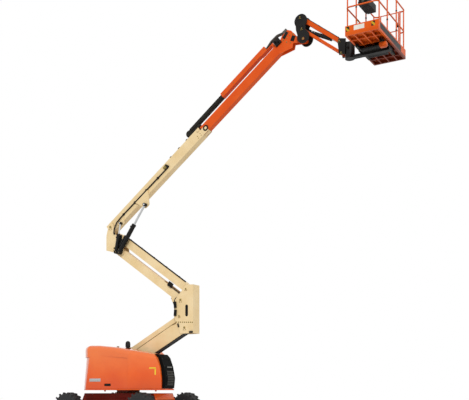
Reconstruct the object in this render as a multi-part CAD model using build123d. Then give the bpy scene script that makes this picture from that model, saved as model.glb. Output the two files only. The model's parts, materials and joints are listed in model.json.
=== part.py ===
from build123d import *
from math import cos, hypot, radians, sin
import os

# Articulating boom lift. Millimetres, +X the way the boom points, +Y left, +Z up.
# Everything is laid out about the swing axis, which stands at SWING_X of the part's frame.
SWING_X = -2850

# ---- pose that the machine stands in, degrees above the horizontal
TOWER_ANGLE = 28
UPPER_ARM_ANGLE = 35.2
BOOM_ANGLE = 37
JIB_ANGLE = -37.7

# ---- clearances
SEAT = 0.5
PIN_FIT = 0.1
RUNNING_FIT = 0.05
ROOM = 10
FAR = 3000

# ---- running gear
WHEELBASE = 2360
TRACK = 2034
TYRE_RADIUS = 420
TYRE_WIDTH = 300
CARCASS_RADIUS = 396
CARCASS_SIDES = 40
SHOULDER = 55
LUG_PITCHES = 18
LUG_LENGTH = 165
LUG_WIDTH = 48
LUG_LEAN = 28
LUG_TOP = 415.6
FIRST_LUG = -98.2
RIM_RADIUS = 212
RIM_WALL = 14
RIM_WIDTH = 210
HUB_RADIUS = 95
SPINDLE_RADIUS = 60
KINGPIN_INSET = 230
AXLE_BEAM = 150
STEER_ARM = 165
STEER_ROD_RADIUS = 19

# ---- chassis and turntable levels
DECK_TOP = 815
BELLY = 400
FRAME_SILL = 540
FRAME_HALF_WIDTH = 450
FRAME_BEHIND_AXLE = 60
BELLY_BEHIND_AXLE = 280
FRAME_NOSE = 80
FRAME_WALL = 12
TIE_HOLE_RADIUS = 25
BEARING_RADIUS = 305
TURNTABLE_BOTTOM = 896
TURNTABLE_PLATE = 30
TABLE_FRONT = 1500
TAIL_RADIUS = 1160
CHEEK_INNER = 145
CHEEK_WALL = 20
CHEEK_TOP = 1620

# ---- hoods
HOOD_SIDE = 950
HOOD_INNER = 290
HOOD_WALL = 8
HOOD_GAP = 4
HOOD_FRONT_Y = 620
HOOD_BELT = 1750
BELT_INSET = 70
LID_INSET = 35
HOOD_SHOULDER = 130
CREASE_X = 750
CREASE_DEPTH = 20
SHORT_HOOD_FRONT = 820
FASCIA_LIFT = 14

# ---- pivots of the tower, boom and jib, as (x, z)
TOWER_FOOT = (-405, 1261)
LOWER_ARM_LENGTH = 2600
LOWER_LINK_OFFSET = (-160, 300)
MID_PIVOT_RISE = (-120, 710)
UPPER_ARM_LENGTH = 2607
UPPER_LINK_OFFSET = (160, 270)
BOOM_PIVOT_RISE = (-140, 580)
JIB_FOOT_RISE = (-32, 240)
JIB_LENGTH = 1240
JIB_LINK_OFFSET = (-45, 275)

# ---- sections of the tower and boom
ARM_PIN_RADIUS = 35
LINK_PIN_RADIUS = 25
BOOM_PIN_RADIUS = 40
PIN_HEAD = 14
LOWER_ARM_DEPTH = 350
LOWER_ARM_WIDTH = 264
LOWER_ARM_BELOW_PIN = 100
PLATE = 12
LOWER_LINK_DEPTH = 120
LOWER_LINK_INNER = 72
LOWER_LINK_WALL = 25
UPRIGHT_INNER = 138
UPPER_BAR_DEPTH = 210
UPPER_BAR_WIDTH = 180
UPPER_LINK_DEPTH = 200
FORK_LENGTH = 780
FORK_INNER = 75
TOP_INNER = 105
TOP_WALL = 20
BASE_DEPTH = 268
BASE_DROP = 12
BASE_WIDTH = 190
BASE_TAIL = 110
BASE_LENGTH = 3550
FLY_DEPTH = 228
FLY_DROP = 16
FLY_WIDTH = 150
FLY_START = 2700
FLY_END = 6550
ARM_WALL = 8
NOSE_PIN = (6842, -358)
NOSE_PIN_RADIUS = 30
NOSE_WALL = 15
NOSE_TOP = 150
FIN_START = 6185
TRAY_BOTTOM = 215
TRAY_HEIGHT = 120
TRAY_HALF_WIDTH = 65
TRACK_START = 3165
TRACK_END = 3620
TRACK_LOW = 168
TRACK_HIGH = 262
TRACK_DEPTH = 80
TRAY_START = 4500
TRAY_END = 6030
TRAY_FOOT = 6180
TRACK_PITCH = 90
HOSE_RADIUS = 16

# ---- jib
JIB_PIN_RADIUS = 20
BRACKET_INNER = 100
BRACKET_WALL = 22
UPPER_JIB_HALF = 60
LOWER_JIB_INNER = 66
LOWER_JIB_WALL = 20
SUPPORT_INNER = 90
SUPPORT_WALL = 20

# ---- cylinders of boom and tower
CYLINDER_Y = -190
BOOM_LUG_FACE = -130

# ---- platform
PLATFORM_LONG = 1830
PLATFORM_SHORT = 760
PLATFORM_REACH = 629
FLOOR_DROP = 28
FLOOR_DEPTH = 60
FLOOR_SHEET = 5
FLOOR_RIB_PITCH = 190
TOE_HEIGHT = 150
RAIL_HEIGHT = 1067
MID_RAIL_HEIGHT = 560
RAIL_RADIUS = 16
RAIL_BEND = 70
GATE_WIDTH = 500
ROTATOR_REACH = 171
ROTATOR_RADIUS = 110
CARRIER_DEPTH = 60


def polar(start, angle, length):
    """Point (x, z) at a length and an angle from another one."""
    return (start[0] + length * cos(radians(angle)), start[1] + length * sin(radians(angle)))


def shifted(point, offset):
    return (point[0] + offset[0], point[1] + offset[1])


def box(x0, x1, y0, y1, z0, z1):
    size = (abs(x1 - x0), abs(y1 - y0), abs(z1 - z0))
    return Pos((x0 + x1) / 2, (y0 + y1) / 2, (z0 + z1) / 2) * Box(*size)


def side_plane(point=(0, 0), angle=0):
    """Plane of the machine's side: local x runs at the angle, local y stands square to it."""
    a = radians(angle)
    return Plane(origin=(point[0], 0, point[1]), x_dir=(cos(a), 0, sin(a)), z_dir=(0, -1, 0))


def slab(plane, face, y0, y1):
    """Face of the side plane, thick from y0 to y1."""
    return extrude(plane.offset(-y1) * face, amount=y1 - y0, dir=(0, -1, 0))


def outline(*points, radius=0):
    face = Polygon(*points, align=None)
    return fillet(face.vertices(), radius) if radius else face


def rounded(*corners):
    """Outline whose corners, given as x, y and radius, are rounded one by one."""
    face = Polygon(*[(x, y) for x, y, radius in corners], align=None)
    for x, y, radius in corners:
        if radius:
            face = fillet(face.vertices().sort_by_distance((x, y, 0))[0], radius)
    return face


def bar(start, end, low, high):
    """Rectangle in the side plane from one station to another."""
    return Pos((start + end) / 2, (low + high) / 2) * Rectangle(end - start, high - low)


def disc(point, radius, y0, y1):
    """Round piece across the machine at a point (x, z)."""
    return Pos(point[0], (y0 + y1) / 2, point[1]) * Rot(90, 0, 0) * Cylinder(radius, y1 - y0)


def bore(point, radius):
    """Hole across the whole machine at a point (x, z)."""
    return disc(point, radius + PIN_FIT, -FAR, FAR)


def upright_round(x, y, radius, z0, z1):
    return Pos(x, y, (z0 + z1) / 2) * Cylinder(radius, z1 - z0)


def both_sides(piece):
    return Part() + [piece, mirror(piece, Plane.XZ)]


def round_bar(start, end, radius, y, from_start, to_end):
    """Round bar on the line between two points of the side plane, between two distances from the first."""
    plane = Plane(origin=(start[0], y, start[1]), z_dir=(end[0] - start[0], 0, end[1] - start[1]))
    return plane * Pos(0, 0, (from_start + to_end) / 2) * Cylinder(radius, to_end - from_start)


def box_tube(plane, start, end, half_depth, half_width, closed_start=0, closed_end=0):
    """Square tube along a side plane's x, with an end plate where a closed length is given."""
    tube = slab(plane, bar(start, end, -half_depth, half_depth), -half_width, half_width)
    run = bar(start + closed_start - (ROOM if closed_start == 0 else 0),
              end - closed_end + (ROOM if closed_end == 0 else 0),
              -half_depth + ARM_WALL, half_depth - ARM_WALL)
    return tube - slab(plane, run, -half_width + ARM_WALL, half_width - ARM_WALL)


def tube(points, radius, bend):
    """Round tube bent through the points."""
    path = FilletPolyline(*points, radius=bend)
    return sweep(Plane(origin=path @ 0, z_dir=path % 0) * Circle(radius), path=path)


def save(name, piece):
    export_step(Pos(SWING_X, 0, 0) * piece, f"parts/{name}.step")


os.makedirs("parts", exist_ok=True)
LOWER_ARM_HEAD = polar(TOWER_FOOT, TOWER_ANGLE, LOWER_ARM_LENGTH)
MID_PIVOT = shifted(LOWER_ARM_HEAD, MID_PIVOT_RISE)
UPPER_ARM_HEAD = polar(MID_PIVOT, 180 - UPPER_ARM_ANGLE, UPPER_ARM_LENGTH)
BOOM_PIVOT = shifted(UPPER_ARM_HEAD, BOOM_PIVOT_RISE)
FOOT_LINK = shifted(TOWER_FOOT, LOWER_LINK_OFFSET)
MID_LINK = shifted(LOWER_ARM_HEAD, LOWER_LINK_OFFSET)
UPPER_LINK_FOOT = shifted(MID_PIVOT, UPPER_LINK_OFFSET)
UPPER_LINK_HEAD = shifted(UPPER_ARM_HEAD, UPPER_LINK_OFFSET)


def on_boom(along, above):
    return polar(polar(BOOM_PIVOT, BOOM_ANGLE, along), BOOM_ANGLE + 90, above)


NOSE_PIVOT = on_boom(*NOSE_PIN)
LOWER_JIB_FOOT = shifted(NOSE_PIVOT, JIB_FOOT_RISE)
UPPER_JIB_FOOT = shifted(LOWER_JIB_FOOT, JIB_LINK_OFFSET)
LOWER_JIB_HEAD = polar(LOWER_JIB_FOOT, JIB_ANGLE, JIB_LENGTH)
UPPER_JIB_HEAD = shifted(LOWER_JIB_HEAD, JIB_LINK_OFFSET)
ROTATOR_X = LOWER_JIB_HEAD[0] + ROTATOR_REACH
PLATFORM_X = ROTATOR_X + PLATFORM_REACH
FLOOR_UNDERSIDE = LOWER_JIB_HEAD[1] - FLOOR_DROP

# pins that the four cylinders work between
TOWER_CYLINDER_FOOT = shifted(LOWER_ARM_HEAD, (-155, 90))
TOWER_CYLINDER_HEAD = polar(polar(MID_PIVOT, 180 - UPPER_ARM_ANGLE, 560), 90 - UPPER_ARM_ANGLE, 30)
LIFT_FOOT = shifted(BOOM_PIVOT, (353, -715))
LIFT_HEAD = on_boom(1215, -350)
LEVEL_FOOT = shifted(BOOM_PIVOT, (235, -700))
LEVEL_HEAD = on_boom(340, -190)
TOWER_FOOT_PIN, LIFT_FOOT_PIN, LEVEL_FOOT_PIN = 25, 25, 20

# ---------------------------------------------------------------- wheels
AXLE_X = WHEELBASE / 2
HUB_Y = TRACK / 2
KINGPIN_Y = HUB_Y - KINGPIN_INSET
HUB_DEPTH = 20


def tyre():
    """Carcass of flat-sided rings about the Z axis with two staggered rows of leaning lugs, bored for the rim."""
    half = TYRE_WIDTH / 2
    side_radius = CARCASS_RADIUS - SHOULDER
    rings = [(-half, side_radius), (-half + SHOULDER, CARCASS_RADIUS), (half - SHOULDER, CARCASS_RADIUS),
             (half, side_radius)]
    sections = [Pos(0, 0, z) * RegularPolygon(radius, CARCASS_SIDES) for z, radius in rings]
    piece = loft(sections[:2], ruled=True) + loft(sections[1:3], ruled=True) + loft(sections[2:], ruled=True)
    low = side_radius - ROOM
    lug = Pos((low + LUG_TOP) / 2, 0, 0) * Box(LUG_TOP - low, LUG_WIDTH, LUG_LENGTH)
    for side, lean, start in ((1, LUG_LEAN, FIRST_LUG), (-1, -LUG_LEAN, FIRST_LUG + 180 / LUG_PITCHES)):
        placed = Pos(0, 0, side * (half - LUG_LENGTH / 2 + ROOM)) * Rot(lean, 0, 0) * lug
        for pitch in range(LUG_PITCHES):
            piece = piece + Rot(0, 0, start + pitch * 360 / LUG_PITCHES) * placed
    piece = piece & Cylinder(FAR, TYRE_WIDTH)
    return piece - Cylinder(RIM_RADIUS, TYRE_WIDTH + ROOM)


def rim():
    """Dished disc wheel with its hub, made for the left side: drum, dish, hub and the spindle's bore."""
    half = RIM_WIDTH / 2
    inner = RIM_RADIUS - RIM_WALL
    drum = Polygon((inner, -half), (RIM_RADIUS, -half), (RIM_RADIUS, half), (inner, half), align=None)
    dish = Polygon((HUB_RADIUS - 10, 18), (HUB_RADIUS - 10, 32), (150, 32), (inner - 12, 62), (inner + 1, 62),
                   (inner + 1, 46), (inner - 8, 46), (156, 18), align=None)
    hub = Polygon((0, -40), (HUB_RADIUS, -40), (HUB_RADIUS, 60), (HUB_RADIUS - 12, 72), (0, 72), align=None)
    wheel = revolve(drum, Axis.Y) + revolve(dish, Axis.Y) + revolve(hub, Axis.Y)
    return wheel - disc((0, 0), SPINDLE_RADIUS + RUNNING_FIT, -60, HUB_DEPTH)


WHEELS = [("front_left", 1, 1), ("front_right", 1, -1), ("rear_left", -1, 1), ("rear_right", -1, -1)]
LEFT_RIM = rim()
LEFT_TYRE = Rot(90, 0, 0) * tyre()
for place, end, side in WHEELS:
    at = Pos(end * AXLE_X, side * HUB_Y, TYRE_RADIUS)
    save(f"tyre_{place}", at * LEFT_TYRE)
    save(f"rim_{place}", at * (LEFT_RIM if side > 0 else mirror(LEFT_RIM, Plane.XZ)))

# ---------------------------------------------------------------- axles and steering
SPINDLE_TIP = HUB_Y + HUB_DEPTH - SEAT
YOKE_INNER = 100
YOKE_JAW = 28
YOKE_HALF = 62
knuckle_half = YOKE_INNER - 5
for side, name in ((1, "left"), (-1, "right")):
    spindle = Pos(AXLE_X, side * (KINGPIN_Y + SPINDLE_TIP) / 2, TYRE_RADIUS)
    spindle = spindle * Rot(90, 0, 0) * Cylinder(SPINDLE_RADIUS, SPINDLE_TIP - KINGPIN_Y)
    post = upright_round(AXLE_X, side * KINGPIN_Y, SPINDLE_RADIUS - 2, TYRE_RADIUS - knuckle_half,
                         TYRE_RADIUS + knuckle_half)
    arm = box(AXLE_X - STEER_ARM - 25, AXLE_X, side * (KINGPIN_Y - 35), side * (KINGPIN_Y + 15),
              TYRE_RADIUS - 80, TYRE_RADIUS - 55)
    save(f"knuckle_{name}", spindle + post + arm)

beam_half = AXLE_BEAM / 2
beam_end = KINGPIN_Y - 130
beam = box(AXLE_X - beam_half, AXLE_X + beam_half, -beam_end, beam_end, TYRE_RADIUS - beam_half, TYRE_RADIUS + beam_half)
beam = beam + box(AXLE_X - 110, AXLE_X + 110, -200, 200, TYRE_RADIUS - beam_half, FRAME_SILL)
for side in (1, -1):
    web = box(AXLE_X - YOKE_HALF, AXLE_X + YOKE_HALF, side * beam_end, side * (beam_end + YOKE_JAW),
              TYRE_RADIUS - YOKE_INNER - YOKE_JAW, TYRE_RADIUS + YOKE_INNER + YOKE_JAW)
    beam = beam + web
    for low in (YOKE_INNER, -YOKE_INNER - YOKE_JAW):
        beam = beam + box(AXLE_X - YOKE_HALF, AXLE_X + YOKE_HALF, side * beam_end, side * (KINGPIN_Y + 60),
                          TYRE_RADIUS + low, TYRE_RADIUS + low + YOKE_JAW)
save("front_axle", beam)

rear = disc((-AXLE_X, TYRE_RADIUS), ROTATOR_RADIUS, -HUB_Y + RIM_WIDTH / 2 + ROOM, HUB_Y - RIM_WIDTH / 2 - ROOM)
rear = rear + disc((-AXLE_X, TYRE_RADIUS), SPINDLE_RADIUS, -SPINDLE_TIP, SPINDLE_TIP)
rear = rear + box(-AXLE_X - 90, -AXLE_X + 90, -210, 210, TYRE_RADIUS - 90, FRAME_SILL)
save("rear_axle", rear)

STEER_AXIS = (AXLE_X - STEER_ARM, TYRE_RADIUS - 28)
steering = disc(STEER_AXIS, 2 * STEER_ROD_RADIUS, -260, 260)
steering = steering + box(STEER_AXIS[0], AXLE_X - 110, -60, 60, STEER_AXIS[1] - 20, STEER_AXIS[1] + 20)
save("steer_cylinder", steering - bore(STEER_AXIS, STEER_ROD_RADIUS))
save("steer_rod", disc(STEER_AXIS, STEER_ROD_RADIUS, -KINGPIN_Y - 5, KINGPIN_Y + 5))

# ---------------------------------------------------------------- chassis frame
FRAME_HALF_LENGTH = AXLE_X - FRAME_BEHIND_AXLE
frame_end = FRAME_HALF_LENGTH + FRAME_NOSE
sill_end = AXLE_X - BELLY_BEHIND_AXLE
belly_end = sill_end - 200
frame_side = outline(
    (-FRAME_HALF_LENGTH, DECK_TOP), (FRAME_HALF_LENGTH, DECK_TOP), (frame_end, 640), (frame_end, FRAME_SILL),
    (sill_end, FRAME_SILL), (belly_end, BELLY), (-belly_end, BELLY), (-sill_end, FRAME_SILL), (-frame_end, FRAME_SILL),
    (-frame_end, 640))
inside_width = FRAME_HALF_WIDTH - FRAME_WALL
chassis = slab(side_plane(), frame_side, -FRAME_HALF_WIDTH, FRAME_HALF_WIDTH)
chassis = chassis - slab(side_plane(), offset(frame_side, -FRAME_WALL), -inside_width, inside_width)
chassis = chassis - upright_round(0, 0, BEARING_RADIUS - 100, DECK_TOP - 50, DECK_TOP + 50)
TIE_Z = FRAME_SILL + 45
for end in (1, -1):
    eye = (end * (frame_end + 30), TIE_Z)
    tie = disc(eye, 45, -320, -300) + box(end * (frame_end - 5), eye[0], -320, -300, TIE_Z - 45, TIE_Z + 45)
    chassis = chassis + both_sides(tie - bore(eye, TIE_HOLE_RADIUS - PIN_FIT))
save("chassis_frame", chassis)

ring = upright_round(0, 0, BEARING_RADIUS, DECK_TOP, TURNTABLE_BOTTOM - SEAT)
save("swing_bearing", ring - upright_round(0, 0, BEARING_RADIUS - 70, DECK_TOP - ROOM, TURNTABLE_BOTTOM + ROOM))

# ---------------------------------------------------------------- turntable
DECK = TURNTABLE_BOTTOM + TURNTABLE_PLATE
plan = rounded((-TAIL_RADIUS, -HOOD_SIDE, 0), (CREASE_X, -HOOD_SIDE, 350), (TABLE_FRONT, -HOOD_FRONT_Y, 60),
               (TABLE_FRONT, -CHEEK_INNER, 40), (TABLE_FRONT - 250, 200, 40), (SHORT_HOOD_FRONT + 220, 640, 40),
               (SHORT_HOOD_FRONT, HOOD_SIDE, 60), (-TAIL_RADIUS, HOOD_SIDE, 0))
tail_disc = Circle(TAIL_RADIUS - 5) + Pos(FAR, 0) * Rectangle(2 * FAR, 2 * FAR)
table = extrude(Pos(0, 0, TURNTABLE_BOTTOM) * (plan & tail_disc), amount=TURNTABLE_PLATE, dir=(0, 0, 1))
table = table + box(TABLE_FRONT - ROOM, TABLE_FRONT + 90, -HOOD_FRONT_Y + 40, -190, TURNTABLE_BOTTOM, DECK)
for x, y in ((-425, -450), (1250, -500), (-425, 450)):
    table = table + upright_round(x, y, 22, TURNTABLE_BOTTOM - 36, TURNTABLE_BOTTOM + ROOM)
cheek_outer = CHEEK_INNER + CHEEK_WALL
cheek = outline((-760, DECK), (300, DECK), (150, 1150), (-300, CHEEK_TOP), (-700, CHEEK_TOP), (-760, CHEEK_TOP - 60))
table = table + both_sides(slab(side_plane(), cheek, CHEEK_INNER, cheek_outer))
for point, radius in ((TOWER_FOOT, ARM_PIN_RADIUS), (FOOT_LINK, LINK_PIN_RADIUS)):
    table = table + disc(point, radius, -cheek_outer - PIN_HEAD, cheek_outer + PIN_HEAD)
save("turntable_frame", table)


def roof_side(inset):
    """Side outline under the hood's roof, which is level over the tail and falls to the front."""
    return rounded(
        (-1400, 500, 0), (FAR, 500, 0), (FAR, 1460 - inset, 0), (900, 1884 - inset, 900), (300, 1990 - inset, 900),
        (-300, 2052 - inset, 900), (-1400, 2074 - inset, 0))


def nose_side(inset, front_x):
    """Side outline behind the hood's nose, which curves back as it rises."""
    x = front_x - inset
    return rounded((-1400, 500, 0), (x, 500, 0), (x + 5, 1200, 300), (x - 35, 1480, 300), (x - 110, 1700, 200),
                   (x - 260, 1850 - inset, 100), (x - 600, 2200, 0), (-1400, 2200, 0))


def hood_form(inset, front_x, crease_x, front_y, inner, lift):
    """Block of a hood on the right-hand side: leaning tail, overhanging lid with round shoulders, curved nose."""
    y_out = -HOOD_SIDE + inset
    plan = rounded((-1300, y_out, 0), (crease_x, y_out, 350), (front_x + ROOM, -front_y + inset, 0),
                   (front_x + ROOM, -inner, 0), (-1300, -inner, 0))
    column = extrude(Pos(0, 0, DECK + lift) * plan, amount=1400, dir=(0, 0, 1))
    radius = TAIL_RADIUS - inset
    rise = HOOD_BELT - DECK
    tail = Pos(0, 0, DECK + rise / 2) * Cone(radius, radius - BELT_INSET, rise)
    tail = tail + upright_round(0, 0, radius - LID_INSET, HOOD_BELT, HOOD_BELT + 800)
    tail = tail + upright_round(0, 0, radius, DECK - 100, DECK) + box(0, FAR, -FAR, FAR, DECK - 100, HOOD_BELT + 800)
    block = column & tail & slab(side_plane(), roof_side(inset), -FAR, FAR)
    roof = [face for face in block.faces() if face.normal_at().Z > 0.5]
    walls = [face for face in block.faces() if abs(face.normal_at().Z) < 0.2 and -inner - 1 > face.center().Y
             and face.center().X < front_x]
    wall_edges = [edge for face in walls for edge in face.edges()]
    brow = [edge for face in roof for edge in face.edges() if any(edge.is_same(other) for other in wall_edges)]
    return fillet(brow, HOOD_SHOULDER - inset) & slab(side_plane(), nose_side(inset, front_x), -FAR, FAR)


def crease_cut(inset):
    """Wedge under the crease of the right-hand hood, deepest at its front upper corner and fading out to the rear."""
    face_y = -HOOD_SIDE + inset
    rear, front, foot = (-250, 1782), (CREASE_X - 60, 1706), (CREASE_X - 60, 1250)
    wedge = slab(side_plane(), outline(rear, front, foot), face_y - 100, face_y + CREASE_DEPTH)
    a = Vector(rear[0], face_y, rear[1])
    b = Vector(front[0], face_y + CREASE_DEPTH, front[1])
    c = Vector(foot[0], face_y, foot[1])
    outward = (c - a).cross(b - a)
    if outward.Y > 0:
        outward = -outward
    outside = Plane(origin=a, x_dir=c - a, z_dir=outward) * Pos(0, 0, FAR / 2) * Box(2 * FAR, 2 * FAR, FAR)
    return wedge & outside


def hood(front_x, crease_x, front_y):
    """Hood shell, open below and on its inner side."""
    shell = hood_form(0, front_x, crease_x, front_y, HOOD_INNER, HOOD_GAP)
    return shell - hood_form(HOOD_WALL, front_x, crease_x, front_y, HOOD_INNER - 50, -ROOM)


outer = hood_form(0, TABLE_FRONT, CREASE_X, HOOD_FRONT_Y, HOOD_INNER, HOOD_GAP) - crease_cut(0)
inner = hood_form(HOOD_WALL, TABLE_FRONT, CREASE_X, HOOD_FRONT_Y, HOOD_INNER - 50, -ROOM) - crease_cut(HOOD_WALL)
save("hood_right", outer - inner)
save("hood_left", mirror(hood(SHORT_HOOD_FRONT, 450, 760), Plane.XZ))

fascia_low = DECK + FASCIA_LIFT
fascia_back = TABLE_FRONT - 230
fascia_side = rounded(
    (fascia_back, fascia_low, 0), (TABLE_FRONT + 93, fascia_low, 0), (TABLE_FRONT + 122, 1200, 200),
    (TABLE_FRONT + 63, 1483, 300), (TABLE_FRONT - 25, 1712, 120), (TABLE_FRONT - 110, 1800, 60), (fascia_back, 1812, 0))
fascia_right = -HOOD_FRONT_Y + 30
fascia_left = -cheek_outer - ROOM
fascia = slab(side_plane(), fascia_side, fascia_right, fascia_left)
cavity = slab(side_plane(), offset(fascia_side, -HOOD_WALL), fascia_right + HOOD_WALL, fascia_left - HOOD_WALL)
save("front_fascia", fascia - slab(side_plane(), nose_side(0, TABLE_FRONT), -FAR, FAR) - cavity)

engine = box(-150, 750, -820, -330, DECK + 60, 1560)
for x in (-100, 640):
    engine = engine + box(x, x + 60, -780, -370, DECK, DECK + 60)
save("engine", engine)
ballast = Circle(TAIL_RADIUS - 60) & Pos(-1070, 0) * Rectangle(600, 1500)
core = Circle(TAIL_RADIUS) & Pos(-1000, 0) * Rectangle(440, 2 * CHEEK_INNER)
save("counterweight", extrude(Pos(0, 0, DECK) * ballast, amount=400, dir=(0, 0, 1))
     + extrude(Pos(0, 0, DECK) * core, amount=CHEEK_TOP - DECK, dir=(0, 0, 1)))
save("fluid_tanks", box(-500, 150, 330, 800, DECK, 1500) + box(150, 740, 360, 760, DECK, 1400))
panel_back = SHORT_HOOD_FRONT + 20
console_side = outline((panel_back, DECK), (panel_back + 160, DECK), (panel_back + 160, 1400), (panel_back + 60, 1560),
                       (panel_back, 1560))
save("ground_controls", slab(side_plane(), console_side, 380, 640))

STACK_X, STACK_Y = 330, -450
stack = upright_round(STACK_X, STACK_Y, 50, 1800, 2080) + upright_round(STACK_X, STACK_Y, 62, 2030, 2110)
stack = stack + Pos(STACK_X, STACK_Y, 2110) * (Sphere(62) & Pos(0, 0, 31) * Box(130, 130, 62))
save("exhaust_stack", stack - slab(side_plane(), roof_side(0), -FAR, FAR))

# ---------------------------------------------------------------- lower tower arm and its link
arm_plane = side_plane(TOWER_FOOT, TOWER_ANGLE)
half = LOWER_ARM_WIDTH / 2
low = -LOWER_ARM_BELOW_PIN
high = LOWER_ARM_DEPTH - LOWER_ARM_BELOW_PIN
arm_side = outline((-90, low + 60), (0, low), (LOWER_ARM_LENGTH - 60, low), (LOWER_ARM_LENGTH + 90, low + 50),
                   (LOWER_ARM_LENGTH + 90, 60), (LOWER_ARM_LENGTH - 120, high - 35), (LOWER_ARM_LENGTH - 260, high - 20),
                   (LOWER_ARM_LENGTH - 340, high), (340, high), (240, high - 35), (100, high - 75), (-90, 80))
lower_arm = both_sides(slab(arm_plane, arm_side, half - PLATE, half))
lower_arm = lower_arm + slab(arm_plane, bar(60, LOWER_ARM_LENGTH - 60, low, low + PLATE), -half, half)
for point in (TOWER_FOOT, LOWER_ARM_HEAD):
    lower_arm = lower_arm + disc(point, ARM_PIN_RADIUS + 25, -half, half)
lower_arm = lower_arm + both_sides(disc(TOWER_CYLINDER_FOOT, TOWER_FOOT_PIN + 20, 58, half))
lower_arm = lower_arm + disc(TOWER_CYLINDER_FOOT, TOWER_FOOT_PIN, -half, half)
save("lower_tower_arm", lower_arm - bore(TOWER_FOOT, ARM_PIN_RADIUS) - bore(LOWER_ARM_HEAD, ARM_PIN_RADIUS))

link_plane = side_plane(FOOT_LINK, TOWER_ANGLE)
deep = LOWER_LINK_DEPTH / 2
link_bar = outline((-deep, -deep), (LOWER_ARM_LENGTH + deep, -deep), (LOWER_ARM_LENGTH + deep, deep), (-deep, deep),
                   radius=30)
link_outer = LOWER_LINK_INNER + LOWER_LINK_WALL
lower_link = both_sides(slab(link_plane, link_bar, LOWER_LINK_INNER, link_outer))
lower_link = lower_link + slab(link_plane, bar(150, LOWER_ARM_LENGTH - 700, deep - PLATE, deep), -link_outer, link_outer)
save("lower_tower_link", lower_link - bore(FOOT_LINK, LINK_PIN_RADIUS) - bore(MID_LINK, LINK_PIN_RADIUS))

# ---------------------------------------------------------------- mid upright
hx, hz = LOWER_ARM_HEAD
upright_outer = UPRIGHT_INNER + PLATE
upright_side = outline((hx - 130, hz - 150), (hx + 257, hz - 150), (hx + 257, hz + 1080), (hx + 40, hz + 1080),
                       (hx - 290, hz + 720), (hx - 320, hz + 280), (hx - 260, hz + 130))
slot = Pos(hx + 61, hz + 430) * SlotOverall(300, 85, rotation=90)
upright = both_sides(slab(side_plane(), upright_side - slot, UPRIGHT_INNER, upright_outer))
upright = upright + box(hx + 257 - PLATE, hx + 257, -upright_outer, upright_outer, hz - 150, hz + 1080)
upright = upright + disc(LOWER_ARM_HEAD, ARM_PIN_RADIUS, -upright_outer - PIN_HEAD, upright_outer + PIN_HEAD)
for point, radius, inner in ((MID_LINK, LINK_PIN_RADIUS, LOWER_LINK_INNER - 2), (MID_PIVOT, ARM_PIN_RADIUS, 73),
                             (UPPER_LINK_FOOT, LINK_PIN_RADIUS, 0)):
    upright = upright + both_sides(disc(point, radius, inner, upright_outer + PIN_HEAD))
save("mid_upright", upright)
hose_y = -UPRIGHT_INNER + HOSE_RADIUS
save("upright_hose", tube([(hx - 150, hose_y, hz + 808), (hx - 329, hose_y, hz + 748), (hx - 316, hose_y, hz + 400),
                           (hx - 150, hose_y, hz + 370)], HOSE_RADIUS, 110))

# ---------------------------------------------------------------- upper tower arm and its link
upper_plane = side_plane(MID_PIVOT, 180 - UPPER_ARM_ANGLE)
half = UPPER_BAR_WIDTH / 2
deep = UPPER_BAR_DEPTH / 2
upper = box_tube(upper_plane, FORK_LENGTH, UPPER_ARM_LENGTH, deep, half, ARM_WALL, 150)
fork_plate = outline((0, -deep), (FORK_LENGTH + 40, -deep), (FORK_LENGTH + 40, deep), (330, deep), (240, 190),
                     (150, 190), (-60, 80), (-80, 0), (-60, -80))
upper = upper + both_sides(slab(upper_plane, fork_plate, FORK_INNER, half)
                           + disc(TOWER_CYLINDER_HEAD, 45, FORK_INNER, half))
upper = upper + disc(UPPER_ARM_HEAD, deep, -half, half)
save("upper_tower_arm", upper - bore(MID_PIVOT, ARM_PIN_RADIUS) - bore(UPPER_ARM_HEAD, ARM_PIN_RADIUS))

upper_link_plane = side_plane(UPPER_LINK_FOOT, 180 - UPPER_ARM_ANGLE)
deep = UPPER_LINK_DEPTH / 2
link = box_tube(upper_link_plane, 0, UPPER_ARM_LENGTH, deep, half, 150, 150)
for point in (UPPER_LINK_FOOT, UPPER_LINK_HEAD):
    link = link + disc(point, deep, -half, half)
save("upper_tower_link", link - bore(UPPER_LINK_FOOT, LINK_PIN_RADIUS) - bore(UPPER_LINK_HEAD, LINK_PIN_RADIUS))
tower_hose = Pos(0, -deep - HOSE_RADIUS, 40) * Rot(0, 90, 0) * Cylinder(HOSE_RADIUS, UPPER_ARM_LENGTH - 350)
save("tower_hose", upper_link_plane * Pos(UPPER_ARM_LENGTH / 2, 0, 0) * tower_hose)

# ---------------------------------------------------------------- top upright
ux, uz = UPPER_ARM_HEAD
top_outer = TOP_INNER + TOP_WALL
top_side = outline((ux - 280, uz - 40), (ux + 280, uz - 190), (ux + 300, uz - 70), (ux + 250, uz + 335),
                   (ux + 40, uz + 345), (ux - 30, uz + 480), (ux - 40, uz + 640), (ux - 100, uz + 690),
                   (ux - 190, uz + 680), (ux - 280, uz + 350))
top = both_sides(slab(side_plane(), top_side, TOP_INNER, top_outer))
top = top + box(ux - 280, ux - 280 + PLATE, -top_outer, top_outer, uz - 40, uz + 340)
for point, radius in ((UPPER_ARM_HEAD, ARM_PIN_RADIUS), (UPPER_LINK_HEAD, LINK_PIN_RADIUS),
                      (BOOM_PIVOT, BOOM_PIN_RADIUS)):
    top = top + disc(point, radius, -top_outer - PIN_HEAD, top_outer + PIN_HEAD)
for point, radius in ((LIFT_FOOT, LIFT_FOOT_PIN), (LEVEL_FOOT, LEVEL_FOOT_PIN)):
    top = top + disc(point, radius, CYLINDER_Y - 60, -TOP_INNER)
save("top_upright", top)

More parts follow.
